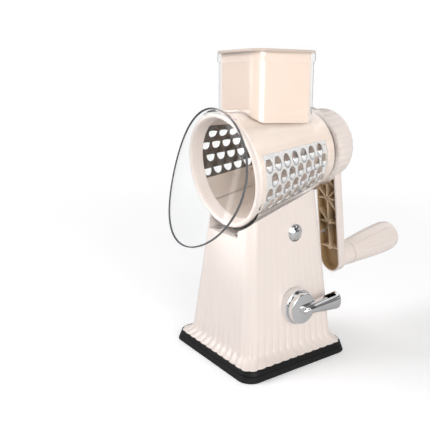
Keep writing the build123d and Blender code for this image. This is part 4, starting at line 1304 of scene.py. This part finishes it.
def ribPiece(xa, ra, xb, rb):
    c = crank
    length = math.hypot(xb - xa, rb - ra)
    turn = Matrix.Rotation(math.atan2(rb - ra, xb - xa), 4, "Y")
    place = axisFrame @ Matrix.Translation(((xa + xb) / 2, 0, -(ra + rb) / 2)) @ turn
    return boxPiece("rib", -length / 2, length / 2, c["ribS0"], c["s1"] - 1.5, -c["ribT"] / 2, c["ribT"] / 2,
                    place)


def makeKnob():
    c = crank
    steps = ((c["s0"], -0.9), (c["s0"] + 0.5, -0.1), (c["s0"] + 1.4, 0.4), (c["s0"] + 7, 0.1),
             (c["s0"] + 14, -0.3), (c["s1"] - 6.5, -0.7), (c["s1"] - 4.4, -1.2), (c["s1"] - 2.4, -2.3),
             (c["s1"] - 1.0, -3.6), (c["s1"] - 0.25, -4.9), (c["s1"], -6.2))
    count = c["lobes"] * c["stepsPerLobe"]
    rows, around, inward = [], [], []
    turned = axisFrame.to_3x3()
    for s, change in steps:
        row = []
        for k in range(count):
            turn = 2 * math.pi * k / count
            out = Vector((math.cos(turn), 0, math.sin(turn)))
            row.append(((c["knobR"] + change) * out.x, s, (c["knobR"] + change) * out.z))
            around.append(k / count)
            inward.append(tuple(turned @ (-out * c["lobeDeep"] * mm)))
        rows.append(row)
    knob = rowsPiece("knob", rows, axisFrame)
    setAttribute(knob, "around", "FLOAT", around)
    setAttribute(knob, "inward", "FLOAT_VECTOR", inward)
    runTree(knob, flutes, Flutes=float(c["lobes"]), Fullness=0.7, Finish=looks["creamPlastic"])
    inner = c["knobR"] - 3.5
    hollow = lathe("hollow", [(12, c["s0"] - 1), (inner, c["s0"] - 1), (inner, c["s1"] - 3.4),
                              (12, c["s1"] - 3.4)])
    bore = lathe("bore", [(0.01, 100), (6.5, 100), (6.5, c["s0"] + 16), (0.01, c["s0"] + 16)], segments=48)
    return carve(knob, [hollow, bore])


def makeCrank():
    c = crank
    half, s0, s1, far = c["armHalf"], c["armS0"], c["s1"], c["armLen"]
    arm = rowsPiece("crankArm", [armLoop(half - 0.5, 0, far, s0), armLoop(half, 0, far, s0 + 0.5),
                                 armLoop(half, 0, far, s1 - 1.0), armLoop(half - 0.3, 0, far, s1 - 0.3),
                                 armLoop(half - 1.0, 0, far, s1 + c["armProud"])], axisFrame)
    inner = half - c["armWall"]
    pocket = rowsPiece("pocket", [armLoop(inner, c["pocketR0"], far, s0 - 1),
                                  armLoop(inner - 0.3, c["pocketR0"], far, s1 - 2)], axisFrame)
    carve(arm, [pocket])
    side = inner + 0.5
    spots = (c["pocketR0"],) + c["bossRs"]
    parts = [ribPiece(0, spots[0] - 2, 0, spots[-1])]
    for r in c["bossRs"]:
        parts.append(ribPiece(-side, r, side, r))
        boss = [(0.01, c["ribS0"]), (3.0, c["ribS0"]), (3.2, s1 - 1.5), (0.01, s1 - 1.5)]
        parts.append(lathe("ribBoss", boss, axisFrame @ Matrix.Translation((0, 0, -r)), segments=32))
    for ra, rb in zip(spots, spots[1:]):
        for x in (side, -side):
            parts.append(ribPiece(0, ra, x, (ra + rb) / 2))
            parts.append(ribPiece(x, (ra + rb) / 2, 0, rb))
    carve(arm, parts, "UNION")
    end = [(0.01, s1 - 1), (12.4, s1 - 1), (12.4, s1 + 3), (13.9, 157.8), (13.8, 158.4), (13.2, 159.3),
           (0.01, 159.3)]
    endPlace = axisFrame @ Matrix.Translation((0, 0, -far))
    carve(arm, [lathe("gripBoss", end, endPlace, segments=96), makeKnob()], "UNION")
    bore = [(0.01, s1 - 1.2), (c["pinR"], s1 - 1.2), (c["pinR"], 170), (0.01, 170)]
    carve(arm, [lathe("pinBore", bore, endPlace, segments=40)])
    wear(arm, "creamPlastic", "crank")
    # Painted shade: the cream crank's pocket walls and floor take a dark tan and its ribs a lighter tan
    arm.data.materials.append(looks["pocketTan"])
    arm.data.materials.append(looks["ribTan"])
    back = axisFrame.inverted()
    for polygon in arm.data.polygons:
        x, s, z = back @ (polygon.center / mm)
        inRow = c["knobR"] < -z < far + inner + 0.2 and abs(x) < inner + 0.2
        if inRow and c["ribS0"] - 0.1 < s < s1 - 0.5 and (-z < far or math.hypot(x, -z - far) < inner + 0.2):
            onWall = abs(x) > inner - 0.4 or s > s1 - 2.3 or -z > far
            polygon.material_index = 1 if onWall else 2
    cap = [(0.001, s1), (11.0, s1), (11.0, s1 + 0.9), (10.7, s1 + 1.4), (10.1, s1 + 1.8), (0.001, s1 + 1.8)]
    wear(lathe("knobCap", cap, segments=72), "creamPlastic", "crank_cap")


def gripRadius(s):
    c = crank
    t = (s - c["gripS0"]) / (c["bulgeS"] - c["gripS0"])
    if t <= 1:
        return c["gripR0"] + (c["gripR1"] - c["gripR0"]) * math.sin(t * math.pi / 2) ** 1.15
    fall = (s - c["bulgeS"]) / (c["gripS1"] - c["capDrop"] - c["bulgeS"])
    return c["gripR1"] - 1.3 * fall ** 2


def makeGrip():
    c = crank
    place = axisFrame @ Matrix.Translation((0, 0, -c["armLen"]))
    capS = c["gripS1"] - c["capDrop"]
    profile = [(c["gripBore"], c["gripS0"]), (c["gripR0"] - 0.9, c["gripS0"]),
               (c["gripR0"] - 0.3, c["gripS0"] + 0.25)]
    for k in range(25):
        s = c["gripS0"] + 1.0 + (capS - c["gripS0"] - 1.0) * k / 24
        profile.append((gripRadius(s), s))
    profile += [(c["gripBore"], capS)]
    body = lathe("gripBody", profile, place, segments=128)
    grooves = []
    for k in range(c["grooves"]):
        rows = []
        for j in range(15):
            s = c["gripS0"] + 9 + (capS - 15 - c["gripS0"]) * j / 14
            fade = math.sin(math.pi * min(1.0, max(0.0, j / 14))) ** 0.35
            half, deep = 0.15 + 0.75 * fade, 0.1 + 0.9 * fade
            r = gripRadius(s)
            rows.append([(r + 0.8, s, half * 1.5), (r - deep * 0.5, s, half), (r - deep, s, half * 0.3),
                         (r - deep, s, -half * 0.3), (r - deep * 0.5, s, -half), (r + 0.8, s, -half * 1.5)])
        turn = Matrix.Rotation(math.radians(-(360 / c["grooves"] * k + 10)), 4, "Y")
        grooves.append(rowsPiece("groove", rows, place @ turn))
    carve(body, grooves)
    wear(body, "creamPlastic", "grip")
    capR = c["gripR1"] - 1.35
    high = c["gripS1"] - capS - 0.4
    big = (capR ** 2 + high ** 2) / (2 * high)
    profile = [(0.001, capS + 0.05), (capR, capS + 0.05)]
    for k in range(15):
        turn = math.asin(capR / big) * (1 - k / 14)
        profile.append((max(0.001, big * math.sin(turn)), c["gripS1"] - big + big * math.cos(turn)))
    wear(lathe("gripEnd", profile, place, segments=96), "creamPlastic", "grip_cap")


dressNodes()
wear(makeTower(), "creamPlastic", "tower")
print("tower made")
makeButton()
makeLever()
makeBase()
print("lever, button and base made")
for side in halfTurns:
    makeHalf(side)
    makePanel(side)
makeRing()
print("drum made")
makeHousing()
makeGuard()
print("clear parts made")
makeGrip()
makeCrank()
makePusher()
for name in ("drum_boss", "drive_shaft", "drum_nut"):
    wear(smoothCopy(name), lookOf(name), name)
print("crank and grip made")

makeCamera()
whiteWorld()
paleFloor()
for name, (at, aim, size, energy, colour) in lamps.items():
    areaLight(name, at, aim, size, studio[energy], colour)
darkCard("lowCard", [(0.9, -0.9, 0.02), (1.2, 0.3, 0.02), (1.2, 0.3, 0.12), (0.9, -0.9, 0.12)], 0.02)
bpy.context.scene.view_settings.view_transform = "Standard"

print("scene complete")
